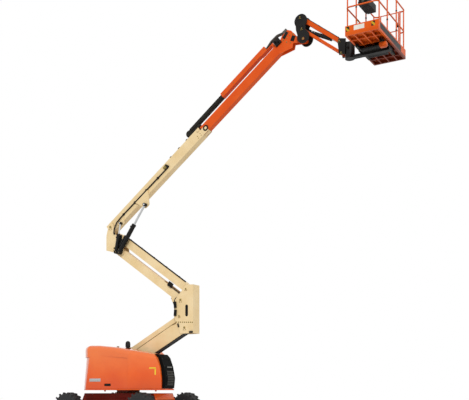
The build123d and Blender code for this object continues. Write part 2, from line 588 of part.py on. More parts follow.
# ---------------------------------------------------------------- main boom base
boom_plane = side_plane(BOOM_PIVOT, BOOM_ANGLE)
half = BASE_WIDTH / 2
base = box_tube(side_plane(on_boom(0, -BASE_DROP), BOOM_ANGLE), -BASE_TAIL, BASE_LENGTH, BASE_DEPTH / 2, half, PLATE, 0)
base = base + disc(BOOM_PIVOT, BOOM_PIN_RADIUS + 20, -half, half)
lift_lug = rounded((1000, -60, 0), (1480, -60, 0), (1440, -146, 60), (1290, -395, 50), (1140, -395, 50), (1040, -146, 60))
level_lug = rounded((220, -95, 0), (470, -95, 0), (395, -238, 45), (285, -238, 45))
for lug in (lift_lug, level_lug):
    base = base + slab(boom_plane, lug, BOOM_LUG_FACE, -half)
base = base + both_sides(disc(on_boom(BASE_LENGTH - 50, 60), 32, -half - 25, -half))
save("main_boom", base - bore(BOOM_PIVOT, BOOM_PIN_RADIUS))


def boom_point(along, above, y):
    x, z = on_boom(along, above)
    return (x, y, z)


beside = -half - HOSE_RADIUS
save("boom_hose", tube([boom_point(-6, -224, beside - 36), boom_point(60, -150, beside - 36),
                        boom_point(230, -62, beside - 36), boom_point(400, -20, beside),
                        boom_point(2300, -35, beside)], HOSE_RADIUS, 70))

# ---------------------------------------------------------------- fly boom with its cable track
half = FLY_WIDTH / 2
fly_top = FLY_DEPTH / 2 - FLY_DROP
fly_low = fly_top - FLY_DEPTH
fly = box_tube(side_plane(on_boom(0, -FLY_DROP), BOOM_ANGLE), FLY_START, FLY_END, FLY_DEPTH / 2, half, 0, PLATE)
nose_plate = outline((FIN_START, fly_low), (FIN_START, 0), (FLY_END - 50, NOSE_TOP), (6690, NOSE_TOP), (6745, 60),
                     (6755, -170), (6830, -230), (6887, -338), (6807, -393), (6600, -210), (6525, -280))
nose_plate = nose_plate + Pos(*NOSE_PIN) * Circle(NOSE_PIN_RADIUS + 20)
fly = fly + both_sides(slab(boom_plane, nose_plate, half - NOSE_WALL, half)
                       + disc(NOSE_PIVOT, NOSE_PIN_RADIUS, half - NOSE_WALL, BRACKET_INNER + BRACKET_WALL + 3))
save("fly_boom", fly)

track_half = TRAY_HALF_WIDTH - 5
bend_radius = (TRACK_HIGH - TRACK_LOW) / 2
bend = TRACK_START + bend_radius + TRACK_DEPTH / 2
core = TRACK_DEPTH / 2 - 8
track_core = bar(bend, TRAY_START, TRACK_HIGH - core, TRACK_HIGH + core)
track_core = track_core + bar(bend, TRACK_END, TRACK_LOW - core, TRACK_LOW + core)
turn = Pos(bend, (TRACK_LOW + TRACK_HIGH) / 2)
track_core = track_core + (turn * Circle(bend_radius + core)
                           & turn * Pos(-TRACK_DEPTH, 0) * Rectangle(2 * TRACK_DEPTH, 3 * TRACK_DEPTH))
track = slab(boom_plane, track_core, -track_half + 8, track_half - 8)
link = Box(TRACK_PITCH - 14, TRACK_DEPTH, 2 * track_half)
for i in range(int((TRAY_START - bend) / TRACK_PITCH)):
    track = track + boom_plane * Pos(TRAY_START - (i + 0.5) * TRACK_PITCH, TRACK_HIGH, 0) * link
for i in range(int((TRACK_END - bend) / TRACK_PITCH)):
    track = track + boom_plane * Pos(bend + (i + 0.5) * TRACK_PITCH, TRACK_LOW, 0) * link
bend_link = Box(TRACK_PITCH - 42, TRACK_DEPTH, 2 * track_half)
for angle in (120, 180, 240):
    track = track + boom_plane * turn * Rot(0, 0, angle) * Pos(bend_radius, 0, 0) * Rot(0, 0, 90) * bend_link
save("cable_track", track)

tray_top = TRAY_BOTTOM + TRAY_HEIGHT
tray = slab(boom_plane, bar(TRAY_START, TRAY_END, TRAY_BOTTOM, tray_top), -TRAY_HALF_WIDTH, TRAY_HALF_WIDTH)
tray = tray - slab(boom_plane, bar(TRAY_START + PLATE, TRAY_END + ROOM, TRAY_BOTTOM + 5, tray_top - 5),
                   -TRAY_HALF_WIDTH + 5, TRAY_HALF_WIDTH - 5)
tray_arm = bar(TRAY_END - 200, TRAY_FOOT + 60, TRAY_BOTTOM - 15, TRAY_BOTTOM) + bar(TRAY_FOOT, TRAY_FOOT + 60, fly_top, TRAY_BOTTOM)
save("track_tray", tray + slab(boom_plane, tray_arm, -TRAY_HALF_WIDTH, TRAY_HALF_WIDTH))

hose_bed = TRAY_BOTTOM + 5
hoses = slab(boom_plane, bar(TRAY_END - 90, TRAY_END - 30, hose_bed, hose_bed + 2 * HOSE_RADIUS + 10), -58, 58)
hoses = hoses + slab(boom_plane, bar(6560, 6680, NOSE_TOP, NOSE_TOP + 70), -half + 2, half - 2)
for y in (-36, 0, 36):
    hoses = hoses + tube([boom_point(TRAY_END - 60, hose_bed + HOSE_RADIUS + 5, y), boom_point(6230, 300, y),
                          boom_point(6420, 290, y), boom_point(6620, NOSE_TOP + 40, y)], HOSE_RADIUS, 90)
save("nose_hoses", hoses)

# ---------------------------------------------------------------- jib
nx, nz = NOSE_PIVOT
bracket_outer = BRACKET_INNER + BRACKET_WALL
bracket_side = outline((nx - 130, nz + 52), (nx + 60, nz + 52), (nx + 50, nz + 230), (nx + 60, nz + 430),
                       (nx - 200, nz + 430), (nx - 185, nz + 230))
bracket_side = bracket_side + Pos(nx - 3, nz + 52) * Circle(155) + Pos(nx - 65, nz + 430) * Circle(160)
bracket = both_sides(slab(side_plane(), bracket_side, BRACKET_INNER, bracket_outer))
bracket = bracket + box(nx - 160, nx - 145, -bracket_outer, bracket_outer, nz + 520, nz + 552)
for point, inner in ((LOWER_JIB_FOOT, 0), (UPPER_JIB_FOOT, UPPER_JIB_HALF - 19)):
    bracket = bracket + both_sides(disc(point, JIB_PIN_RADIUS, inner, bracket_outer + PIN_HEAD))
save("jib_bracket", bracket - bore(NOSE_PIVOT, NOSE_PIN_RADIUS))

jib_plane = side_plane(UPPER_JIB_FOOT, JIB_ANGLE)
upper_jib_bar = outline((-40, -40), (JIB_LENGTH + 40, -40), (JIB_LENGTH + 40, 52), (-40, 52), radius=20)
upper_jib = both_sides(slab(jib_plane, upper_jib_bar, UPPER_JIB_HALF - 18, UPPER_JIB_HALF))
upper_jib = upper_jib + slab(jib_plane, bar(40, 160, 52 - PLATE, 52), -UPPER_JIB_HALF, UPPER_JIB_HALF)
save("jib_upper_link", upper_jib - bore(UPPER_JIB_FOOT, JIB_PIN_RADIUS) - bore(UPPER_JIB_HEAD, JIB_PIN_RADIUS))

lower_jib_plane = side_plane(LOWER_JIB_FOOT, JIB_ANGLE)
lower_jib_outer = LOWER_JIB_INNER + LOWER_JIB_WALL
lower_jib_bar = outline((-35, -30), (JIB_LENGTH + 35, -30), (JIB_LENGTH + 35, 30), (-35, 30), radius=20)
lower_jib = both_sides(slab(lower_jib_plane, lower_jib_bar, LOWER_JIB_INNER, lower_jib_outer))
for station in (300, JIB_LENGTH - 340):
    lower_jib = lower_jib + slab(lower_jib_plane, bar(station, station + 40, -30, -30 + PLATE),
                                 -lower_jib_outer, lower_jib_outer)
save("jib_lower_link", lower_jib - bore(LOWER_JIB_FOOT, JIB_PIN_RADIUS) - bore(LOWER_JIB_HEAD, JIB_PIN_RADIUS))

# ---------------------------------------------------------------- platform support and rotator
sx, sz = LOWER_JIB_HEAD
support_outer = SUPPORT_INNER + SUPPORT_WALL
HOUSING_BOTTOM = sz - 50
support_side = outline((sx - 50, sz - 45), (sx + 90, sz - 45), (sx + 110, sz + 300), (sx - 60, sz + 340),
                       (sx - 90, sz + 260))
support = both_sides(slab(side_plane(), support_side, SUPPORT_INNER, support_outer))
support = support + box(sx + 75, sx + 90, -support_outer, support_outer, sz - 45, sz + 230)
support = support + box(sx + 75, ROTATOR_X, -60, 60, sz - 20, sz + 180)
support = support + upright_round(ROTATOR_X, 0, ROTATOR_RADIUS, HOUSING_BOTTOM, sz + 210)
for point, inner in ((LOWER_JIB_HEAD, LOWER_JIB_INNER - 2), (UPPER_JIB_HEAD, UPPER_JIB_HALF - 19)):
    support = support + both_sides(disc(point, JIB_PIN_RADIUS, inner, support_outer + PIN_HEAD))
save("platform_support", support)

# ---------------------------------------------------------------- platform
half_long = PLATFORM_LONG / 2
half_short = PLATFORM_SHORT / 2
back = PLATFORM_X - half_short
front = PLATFORM_X + half_short
floor_top = FLOOR_UNDERSIDE + FLOOR_DEPTH
sheet = floor_top - FLOOR_SHEET
floor = box(back, front, -half_long, half_long, FLOOR_UNDERSIDE, floor_top + TOE_HEIGHT)
floor = floor - box(back + 4, front - 4, -half_long + 4, half_long - 4, floor_top, floor_top + TOE_HEIGHT + ROOM)
floor = floor - box(back + 40, front - 40, -half_long + 40, half_long - 40, FLOOR_UNDERSIDE - ROOM, sheet)
for step in (-1, 0, 1):
    rib = PLATFORM_X + step * FLOOR_RIB_PITCH
    floor = floor + box(rib - 15, rib + 15, -half_long + 30, half_long - 30, FLOOR_UNDERSIDE, sheet)
for step in (-2, -1, 0, 1, 2):
    rib = step * half_long / 3
    floor = floor + box(back + 30, front - 30, rib - 12, rib + 12, FLOOR_UNDERSIDE, sheet)
save("platform_floor", floor)

beam_top = FLOOR_UNDERSIDE
beam_low = beam_top - CARRIER_DEPTH
carrier = box(ROTATOR_X, front - 60, -60, 60, beam_low - CARRIER_DEPTH, beam_low)
carrier = carrier + box(back + 20, front - 60, -170, 170, beam_low, beam_top)
for x in (back + 70, front - 120):
    carrier = carrier + box(x - 30, x + 30, -420, 420, beam_low, beam_top)
carrier = carrier + upright_round(ROTATOR_X, 0, ROTATOR_RADIUS, beam_low - CARRIER_DEPTH, HOUSING_BOTTOM - SEAT)
save("platform_carrier", carrier)

inset = RAIL_RADIUS + 4
rail_y = half_long - inset
gate_low, gate_high = PLATFORM_X - GATE_WIDTH / 2, PLATFORM_X + GATE_WIDTH / 2
top_z = floor_top + RAIL_HEIGHT - RAIL_RADIUS
post_low = floor_top + TOE_HEIGHT


rails = Part()
for level in (top_z, floor_top + MID_RAIL_HEIGHT):
    corners = ((gate_low, rail_y), (back + inset, rail_y), (back + inset, -rail_y), (front - inset, -rail_y),
               (front - inset, rail_y), (gate_high, rail_y))
    rails = rails + tube([(x, y, level) for x, y in corners], RAIL_RADIUS, RAIL_BEND)
post_radius = RAIL_RADIUS - 1
for x in (back + inset, front - inset):
    for y in (-half_long / 3, half_long / 3, -rail_y + RAIL_BEND, rail_y - RAIL_BEND):
        rails = rails + upright_round(x, y, post_radius, post_low, top_z)
for x in (gate_low, gate_high):
    rails = rails + upright_round(x, rail_y, RAIL_RADIUS + 1, post_low, top_z + RAIL_RADIUS)
save("platform_rails", rails)

GATE_TUBE = 12
gate_gap = RAIL_RADIUS + 1 + GATE_TUBE + 6
gate_left, gate_right = gate_low + gate_gap, gate_high - gate_gap
gate_bottom, gate_top = post_low + 60, top_z
gate = Part()
for z in (gate_bottom, (gate_bottom + gate_top) / 2, gate_top):
    gate = gate + Pos((gate_left + gate_right) / 2, rail_y, z) * Rot(0, 90, 0) * Cylinder(GATE_TUBE - 1, gate_right - gate_left)
for x in (gate_left, gate_right):
    gate = gate + upright_round(x, rail_y, GATE_TUBE, gate_bottom - GATE_TUBE, gate_top + GATE_TUBE)
save("platform_gate", gate)

console_back = back + 2 * inset + 1
save("control_console", box(console_back + 30, console_back + 230, -280, 280, floor_top + 880, floor_top + 1040)
     + box(console_back, console_back + 30, -250, 250, floor_top + 880, floor_top + 960))

# ---------------------------------------------------------------- cylinders
# Each row: name, foot and head of the cylinder, side offset, radius of barrel, rod, foot pin and head eye,
# half width of the eyes, length of barrel and of rod, and the two side stations between which its head pin lies.
lift_pin = (CYLINDER_Y - 50, BOOM_LUG_FACE - 1)
CYLINDERS = [
    ("tower", TOWER_CYLINDER_FOOT, TOWER_CYLINDER_HEAD, 0, 50, 28, TOWER_FOOT_PIN, 40, 54, 780, 765, (-74, 74)),
    ("boom", LIFT_FOOT, LIFT_HEAD, CYLINDER_Y, 55, 30, LIFT_FOOT_PIN, 42, 45, 840, 880, lift_pin),
    ("level", LEVEL_FOOT, LEVEL_HEAD, CYLINDER_Y, 42, 20, LEVEL_FOOT_PIN, 32, 40, 475, 455, lift_pin),
    ("jib", LOWER_JIB_FOOT, UPPER_JIB_HEAD, 0, 34, 18, JIB_PIN_RADIUS, 28, 38, 800, 850, (-38, 38)),
]
for name, foot, head, y, barrel_r, rod_r, pin_r, eye_r, eye_half, barrel_length, rod_length, head_pin in CYLINDERS:
    span = hypot(head[0] - foot[0], head[1] - foot[1])
    barrel = round_bar(foot, head, barrel_r, y, 0, barrel_length)
    barrel = barrel + disc(foot, barrel_r + 5, y - eye_half, y + eye_half)
    barrel = barrel - round_bar(foot, head, rod_r + PIN_FIT, y, barrel_r + 15, barrel_length + ROOM)
    save(f"{name}_cylinder_barrel", barrel - bore(foot, pin_r))
    rod = round_bar(foot, head, rod_r, y, span - rod_length, span)
    rod = rod + disc(head, eye_r, y - eye_half + 5, y + eye_half - 5)
    save(f"{name}_cylinder_rod", rod + disc(head, pin_r - 2, *head_pin))
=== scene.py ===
import json
from math import pi, radians

import bpy
import bmesh
from mathutils import Matrix, Vector


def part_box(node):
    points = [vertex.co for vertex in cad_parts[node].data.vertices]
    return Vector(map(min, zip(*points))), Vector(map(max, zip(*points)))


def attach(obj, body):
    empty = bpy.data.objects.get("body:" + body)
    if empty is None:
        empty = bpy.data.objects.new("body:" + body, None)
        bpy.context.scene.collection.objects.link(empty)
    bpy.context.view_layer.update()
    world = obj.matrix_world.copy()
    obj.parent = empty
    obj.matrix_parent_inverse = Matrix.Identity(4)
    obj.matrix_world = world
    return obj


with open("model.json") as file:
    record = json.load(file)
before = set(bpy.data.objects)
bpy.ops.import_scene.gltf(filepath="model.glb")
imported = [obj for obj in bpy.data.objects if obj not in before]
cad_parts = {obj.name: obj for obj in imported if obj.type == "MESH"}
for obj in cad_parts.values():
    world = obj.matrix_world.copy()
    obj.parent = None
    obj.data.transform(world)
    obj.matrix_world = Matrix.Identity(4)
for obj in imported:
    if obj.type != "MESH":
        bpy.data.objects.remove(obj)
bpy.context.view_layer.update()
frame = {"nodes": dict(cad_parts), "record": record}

nodes = frame["nodes"]
pivot = {joint["name"]: Vector(joint["pos_m"])
         for joint in frame["record"]["behaviour"]["joints"] if "pos_m" in joint}

# Studio and camera
# The machine stands on a pale seamless floor under one broad lamp and an even white surround.
# The camera is level, at the height of the wheel tops, and looks up by its lens shift.
floor_size, floor_drop = 70.0, 0.001
bpy.ops.mesh.primitive_plane_add(size=floor_size, location=(0, 0, -floor_drop))
studio_floor = bpy.context.object
studio_floor.name = "studio_floor"


def linear(hex_colour):
    """Linear colour of an sRGB hex value."""
    channels = [int(hex_colour[i:i + 2], 16) / 255 for i in (1, 3, 5)]
    return [c / 12.92 if c <= 0.04045 else ((c + 0.055) / 1.055) ** 2.4 for c in channels] + [1.0]


def add_node(tree, kind, settings=(), links=()):
    """Adds a shader node, sets its properties or inputs, and links inputs to outputs or nodes."""
    made = tree.nodes.new("ShaderNode" + kind)
    for key, value in dict(settings).items():
        if isinstance(key, str) and hasattr(made, key):
            setattr(made, key, value)
        else:
            made.inputs[key].default_value = value
    for key, source in dict(links).items():
        tree.links.new(getattr(source, "outputs", [source])[0], made.inputs[key])
    return made


def new_material(name):
    material = bpy.data.materials.new(name)
    material.use_nodes = True
    material.node_tree.nodes.clear()
    return material, material.node_tree


floor_paper, tree = new_material("floor_paper")
grain = add_node(tree, "TexNoise", {"Scale": 6.0, "Detail": 3.0},
                 {"Vector": add_node(tree, "TexCoord").outputs["Object"]})
tone = add_node(tree, "Mix", {"data_type": "RGBA", 6: linear("#F4F4F2"), 7: linear("#FAFAF9")},
                {0: grain.outputs["Fac"]})
paper = add_node(tree, "BsdfPrincipled", {"Roughness": 0.9}, {"Base Color": tone.outputs[2]})
add_node(tree, "OutputMaterial", {}, {"Surface": paper})
studio_floor.data.materials.append(floor_paper)

world = bpy.data.worlds.new("studio")
bpy.context.scene.world = world
world.use_nodes = True
tree = world.node_tree
tree.nodes.clear()
rays = add_node(tree, "LightPath")
seen = add_node(tree, "Math", {"operation": "MAXIMUM"},
                {0: rays.outputs["Is Camera Ray"], 1: rays.outputs["Is Glossy Ray"]})
seen = add_node(tree, "Math", {"operation": "MAXIMUM"}, {0: seen, 1: rays.outputs["Is Transmission Ray"]})
surround = add_node(tree, "Background", {"Color": linear("#FFFFFF"), "Strength": 0.5})
white = add_node(tree, "Background", {"Color": linear("#FFFFFF"), "Strength": 1.0})
both = add_node(tree, "MixShader", {}, {0: seen, 1: surround, 2: white})
add_node(tree, "OutputWorld", {}, {"Surface": both})

key_light = bpy.data.lights.new("key_light", "SUN")
key_light.energy = 1.6
key_light.angle = radians(12)
key_lamp = bpy.data.objects.new("key_light", key_light)
key_lamp.rotation_euler = Vector((-0.45, 0.70, -0.56)).to_track_quat("-Z", "Y").to_euler()
bpy.context.scene.collection.objects.link(key_lamp)

camera_data = bpy.data.cameras.new("camera")
camera_data.sensor_width = 36
camera_data.lens = 62.16
camera_data.shift_y = 0.4097
camera_data.clip_end = 300
camera = bpy.data.objects.new("camera", camera_data)
camera.location = (10.34, -17.34, 0.843)
camera.rotation_euler = Vector((-0.4968, 0.8679, 0)).to_track_quat("-Z", "Y").to_euler()
bpy.context.scene.collection.objects.link(camera)
bpy.context.scene.camera = camera
bpy.context.scene.view_settings.view_transform = "Standard"


# Tyres
# Foam-filled off-road tyres of black moulded rubber with a cleated tread.
# Each carries a raised bead guard beside the wheel; dust stays in the grooves.
def finish(name, colours, scale_mm, roughness, bump_mm, metallic=0.0, coat=0.0, dust_and_shade=None, fine_mm=6,
           gloss=0.5):
    """Coating whose tone drifts over a real length, with grain of a real height and a colour laid into low
    places by ambient occlusion: dust on some finishes, painted shade on others.
    """
    material, tree = new_material(name)
    place = add_node(tree, "TexCoord").outputs["Object"]
    drift = add_node(tree, "TexNoise", {"Scale": 1000 / scale_mm, "Detail": 4.0, "Roughness": 0.6},
                     {"Vector": place})
    spread = add_node(tree, "MapRange", {1: 0.35, 2: 0.65}, {0: drift.outputs["Fac"]})
    colour = add_node(tree, "Mix", {"data_type": "RGBA", 6: linear(colours[0]), 7: linear(colours[1])},
                      {0: spread}).outputs[2]
    rough = add_node(tree, "MapRange", {1: 0.3, 2: 0.7, 3: roughness[0], 4: roughness[1]},
                     {0: drift.outputs["Fac"]}).outputs[0]
    if dust_and_shade:
        hollow = add_node(tree, "AmbientOcclusion", {"Distance": dust_and_shade[1] / 1000, "samples": 4})
        blotch = add_node(tree, "TexNoise", {"Scale": 14.0, "Detail": 5.0}, {"Vector": place})
        depth = add_node(tree, "MapRange", {1: 0.85, 2: 0.25, 3: 0.0, 4: dust_and_shade[2]}, {0: hollow.outputs["AO"]})
        amount = add_node(tree, "Math", {"operation": "MULTIPLY"}, {0: depth, 1: blotch.outputs["Fac"]})
        colour = add_node(tree, "Mix", {"data_type": "RGBA", 7: linear(dust_and_shade[0])},
                          {0: amount, 6: colour}).outputs[2]
    grain = add_node(tree, "TexNoise", {"Scale": 1000 / fine_mm, "Detail": 2.0}, {"Vector": place})
    bump = add_node(tree, "Bump", {"Strength": 0.5, "Distance": bump_mm / 1000},
                    {"Height": grain.outputs["Fac"]})
    shader = add_node(tree, "BsdfPrincipled", {"Metallic": metallic, "Coat Weight": coat,
                                               "Coat Roughness": 0.08, "Specular IOR Level": gloss},
                      {"Base Color": colour, "Roughness": rough, "Normal": bump})
    add_node(tree, "OutputMaterial", {}, {"Surface": shader})
    return material


def dress(material, *names):
    """Gives CAD nodes a finish in all their material slots."""
    for name in names:
        slots = nodes[name].data.materials
        slots.clear()
        slots.append(material)


def bevel_edges(piece, width, segments):
    """Adds a bevel of a real width to the edges that turn by more than 40 degrees."""
    bevel = piece.modifiers.new("edge", "BEVEL")
    bevel.width = width
    bevel.segments = segments
    bevel.limit_method = "ANGLE"
    bevel.angle_limit = radians(40)


def stepped(name, height, steps, edge):
    """Shapes the active primitive's end face in steps and rounds its edges by a real width."""
    piece = bpy.context.object
    piece.name = piece.data.name = name
    bpy.ops.object.transform_apply(location=True, rotation=False, scale=False)
    bpy.ops.object.mode_set(mode="EDIT")
    bpy.ops.mesh.select_mode(type="FACE")
    bpy.ops.mesh.select_all(action="DESELECT")
    mesh = bmesh.from_edit_mesh(piece.data)
    for face in mesh.faces:
        face.select_set(face.normal.z > 0.9 and face.calc_center_median().z > height - 1e-5)
    bmesh.update_edit_mesh(piece.data)
    for inset, rise in steps:
        if inset:
            bpy.ops.mesh.inset(thickness=inset)
        bpy.ops.mesh.extrude_region_move(TRANSFORM_OT_translate={"value": (0, 0, rise)})
    bpy.ops.object.mode_set(mode="OBJECT")
    if edge:
        bevel_edges(piece, edge, 2)
        bpy.ops.object.modifier_apply(modifier="edge")
    return piece


def turned(name, radius, height, steps=(), sides=32, edge=0.0):
    """Lathe-turned piece standing on the origin along Z; each step insets its end face and moves it along."""
    bpy.ops.mesh.primitive_cylinder_add(vertices=sides, radius=radius, depth=height,
                                        location=(0, 0, height / 2))
    return stepped(name, height, steps, edge)


def pressed(name, size, steps=(), edge=0.0):
    """Block or plate standing on the origin; each step insets its outer face and moves it along."""
    bpy.ops.mesh.primitive_cube_add(size=1, location=(0, 0, size[2] / 2), scale=size)
    bpy.ops.object.transform_apply(location=False, rotation=False, scale=True)
    return stepped(name, size[2], steps, edge)


def at(point, direction=(0, 0, 1), turn=0.0):
    """Placing matrix whose Z runs along a direction from a point."""
    return (Matrix.Translation(point) @ Vector(direction).to_track_quat("Z", "Y").to_matrix().to_4x4()
            @ Matrix.Rotation(turn, 4, "Z"))


def shift(x, y, z):
    """Placing matrix that moves and doesn't turn."""
    return Matrix.Translation((x, y, z))


def fit(piece, places, material, body, slot):
    """Copies a piece to its places, joins the copies, gives them a finish and fixes them to a body."""
    copies = []
    for number, place in enumerate(places):
        copy = piece.copy()
        copy.data = piece.data.copy()
        copy.name = f"{piece.name}_{number}"
        bpy.context.scene.collection.objects.link(copy)
        copy.matrix_world = place
        copies.append(copy)
    name = piece.name
    bpy.data.objects.remove(piece)
    bpy.ops.object.select_all(action="DESELECT")
    for copy in copies:
        copy.select_set(True)
    bpy.context.view_layer.objects.active = copies[0]
    bpy.ops.object.transform_apply(location=True, rotation=True, scale=True)
    if len(copies) > 1:
        bpy.ops.object.join()
    fitted = bpy.context.object
    fitted.name = fitted.data.name = name
    bpy.ops.object.shade_smooth_by_angle(angle=radians(35))
    fitted.data.materials.clear()
    fitted.data.materials.append(material)
    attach(fitted, body)


WHEELS = {"front_left": 1, "front_right": -1, "rear_left": 1, "rear_right": -1}
# Carbon-black rubber: matt, with pale dust in the cleats.
tyre_rubber = finish("moulded_rubber", ("#18191B", "#262626"), 60, (0.75, 0.9), 1.0,
                     dust_and_shade=("#6E675C", 60, 0.45))
dress(tyre_rubber, *[f"tyre_{place}" for place in WHEELS])

# Wheels
# Pressed steel disc wheels with a rolled rim, sprayed pale and held by nine nuts on a hub with a drive cap.
# The nuts are yellow-passivated steel, which reads as dull olive gold.
wheel_enamel = finish("wheel_enamel", ("#DDC9A0", "#E8D6B0"), 300, (0.35, 0.5), 0.2,
                      dust_and_shade=("#8A7A62", 60, 0.6))
zinc_yellow = finish("yellow_passivated_steel", ("#7E6E3C", "#A08E55"), 40, (0.3, 0.45), 0.2, metallic=0.8)
black_enamel = finish("black_enamel", ("#0E0D0C", "#171614"), 200, (0.4, 0.55), 0.2, gloss=0.2,
                      dust_and_shade=("#3A342C", 60, 0.35))
dress(wheel_enamel, *[f"rim_{place}" for place in WHEELS])


def bolt(name, radius):
    """Hexagon head on a washer, standing on the origin."""
    head = turned(name, radius, 0.8 * radius, [(0.12 * radius, 0.12 * radius)], sides=6)
    turned(name + "_washer", 1.5 * radius, 0.22 * radius, sides=18, edge=0.06 * radius)
    head.select_set(True)
    bpy.context.view_layer.objects.active = head
    bpy.ops.object.join()
    return bpy.context.object


def ring(name, outer, inner, height, edge, sides=48):
    """Open ring standing on the origin, its edges rounded."""
    bpy.ops.mesh.primitive_cylinder_add(vertices=sides, radius=outer, depth=height, end_fill_type="NOTHING",
                                        location=(0, 0, height / 2))
    piece = bpy.context.object
    piece.name = piece.data.name = name
    bpy.ops.object.transform_apply(location=True, rotation=False, scale=False)
    wall = piece.modifiers.new("wall", "SOLIDIFY")
    wall.thickness = outer - inner
    wall.offset = -1
    bevel_edges(piece, edge, 3)
    for modifier in ("wall", "edge"):
        bpy.ops.object.modifier_apply(modifier=modifier)
    return piece


def circle(radius, count, depth=0.0, start=0.0):
    """Places on a circle about Z."""
    return [Matrix.Rotation(start + 2 * pi * i / count, 4, "Z") @ shift(radius, 0, depth)
            for i in range(count)]


nut_circle, nut_seat, cap_seat, flange_seat, bead_seat = 0.118, 0.033, 0.071, 0.1, 0.117
for place, side in WHEELS.items():
    hub = at(pivot[f"{place}_wheel_spin"], (0, side, 0))
    body = f"{place}_wheel"
    fit(bolt(f"wheel_nuts_{place}", 0.016), [hub @ spot for spot in circle(nut_circle, 9, nut_seat)],
        zinc_yellow, body, "rim")
    fit(turned(f"hub_cap_{place}", 0.078, 0.012, [(0.012, 0.022), (0.012, 0.006), (0.02, -0.006)],
               edge=0.004), [hub @ shift(0, 0, cap_seat)], black_enamel, body, "rim")
    fit(turned(f"valve_{place}", 0.008, 0.03, [(0.002, 0.014)], sides=12, edge=0.001),
        [hub @ Matrix.Rotation(0.35, 4, "Z") @ shift(0.185, 0, 0.055)], zinc_yellow, body, "rim")
    fit(ring(f"rim_flange_{place}", 0.2115, 0.196, 0.016, 0.005), [hub @ shift(0, 0, flange_seat)],
        wheel_enamel, body, "rim")
    fit(ring(f"tyre_bead_{place}", 0.2116, 0.2, 0.03, 0.008), [hub @ shift(0, 0, bead_seat)], tyre_rubber,
        body, "tyre")

# Axles, steering and chassis frame
# Welded steel box sections; the frame's dark red is painted shade on its orange paint, and the bright orange
# plates on its sloped ends are painted light.
# Dust dulls it all. Kingpins have greased caps, and the slewing ring is bolted down through its flange.
# Painted shade: the frame's orange paint is given the dark red of its shaded side.
chassis_painted_shade = finish("chassis_painted_shade", ("#6E1A0E", "#7E2413"), 500, (0.45, 0.6), 0.2, gloss=0.15,
                        dust_and_shade=("#2E120C", 120, 0.7))
dress(chassis_painted_shade, "chassis_frame")
dress(black_enamel, "front_axle", "rear_axle", "steer_cylinder", "knuckle_left", "knuckle_right")
# Hard chrome: mirror-bright metal with a faint film of oil.
chrome = finish("hard_chrome", ("#C9CBCC", "#DADBDB"), 80, (0.08, 0.16), 0.02, metallic=1.0)
dress(chrome, "steer_rod")
# Painted shade: the slewing ring and its flange are given the dark red of the shaded bearing band.
ring_painted_shade = finish("ring_painted_shade", ("#6E2013", "#7E2A18"), 200, (0.45, 0.6), 0.2, dust_and_shade=("#33180F", 60, 0.6))
dress(ring_painted_shade, "swing_bearing")
swing_x = pivot["turntable_swing"].x
swing = Matrix.Translation(pivot["turntable_swing"])
fit(bolt("slewing_ring_bolts", 0.014), [swing @ spot for spot in circle(0.33, 24, 0.016)], zinc_yellow,
    "chassis", "chassis_red")
fit(ring("slewing_ring_flange", 0.352, 0.3055, 0.016, 0.004, 64), [swing], ring_painted_shade, "chassis",
    "chassis_red")
for side, name in ((1, "left"), (-1, "right")):
    kingpin = pivot[f"{name}_knuckle_steer"]
    fit(turned(f"kingpin_cap_{name}", 0.055, 0.012, [(0.01, 0.016), (0.016, 0.008)], edge=0.003),
        [at(kingpin + Vector((0, 0, 0.128)))], black_enamel, "chassis", "black")
    fit(bolt(f"kingpin_bolts_{name}", 0.009),
        [at(kingpin) @ spot for spot in circle(0.047, 4, 0.139, pi / 4)], zinc_yellow, "chassis", "black")
half_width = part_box("chassis_frame")[1].y
# Painted light: the plates on the sloped ends carry the chassis paint as it looks lit, paler than the
# turntable's orange.
end_painted_light = finish("end_panel_painted_light", ("#FF6A24", "#FF7632"), 400, (0.35, 0.45), 0.2, gloss=0.15, coat=0.2,
                    dust_and_shade=("#8A3A1C", 60, 0.3))
panel = pressed("chassis_end_panels", (0.18, 0.86, 0.005), [(0.01, 0.003)], edge=0.002)
end_reach, end_level = 1.16, 0.7275
fit(panel, [at((swing_x + side * end_reach, 0, end_level), (side * 0.909, 0, 0.416), pi / 2)
            for side in (1, -1)], end_painted_light, "chassis", "chassis_red")
fit(pressed("belly_inspection_plate", (0.5, 0.16, 0.006), [(0.012, 0.004)], edge=0.003),
    [at((swing_x, side * half_width, 0.63), (0, side, 0)) for side in (1, -1)], chassis_painted_shade, "chassis",
    "chassis_red")
gland = turned("steering_rod_gland", 0.046, 0.02, [(0.008, 0.016), (0.006, -0.004)], edge=0.003)
rod_x, rod_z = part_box("steer_cylinder")[0].x + 0.038, pivot["left_knuckle_steer"].z - 0.028
fit(gland, [at((rod_x, side * 0.252, rod_z), (0, side, 0)) for side in (1, -1)], black_enamel, "chassis",
    "black")

# Turntable frame and hoods
# A welded steel table carries the tower's cheeks; the hoods are glass-fibre with a glossy orange gelcoat.
# Each hood hangs on two posts with pin hinges along its inner edge and closes on a paddle latch.
orange_enamel = finish("orange_enamel", ("#DE5212", "#E8601C"), 600, (0.3, 0.4), 0.2, gloss=0.15, coat=0.2,
                       dust_and_shade=("#7A2C14", 80, 0.5))
# Gelcoat: deep gloss over an even orange, with faint ripples from the mould.
hood_gelcoat = finish("hood_gelcoat", ("#E5560C", "#ED6418"), 700, (0.16, 0.24), 0.15, gloss=0.1, coat=0.7,
                      dust_and_shade=("#8E2E12", 60, 0.35))


def position(material):
    """Outputs with the X, Y and Z of a finish's place, in metres."""
    tree = material.node_tree
    place = next(node for node in tree.nodes if node.type == "TEX_COORD").outputs["Object"]
    return add_node(tree, "SeparateXYZ", {}, {0: place}).outputs


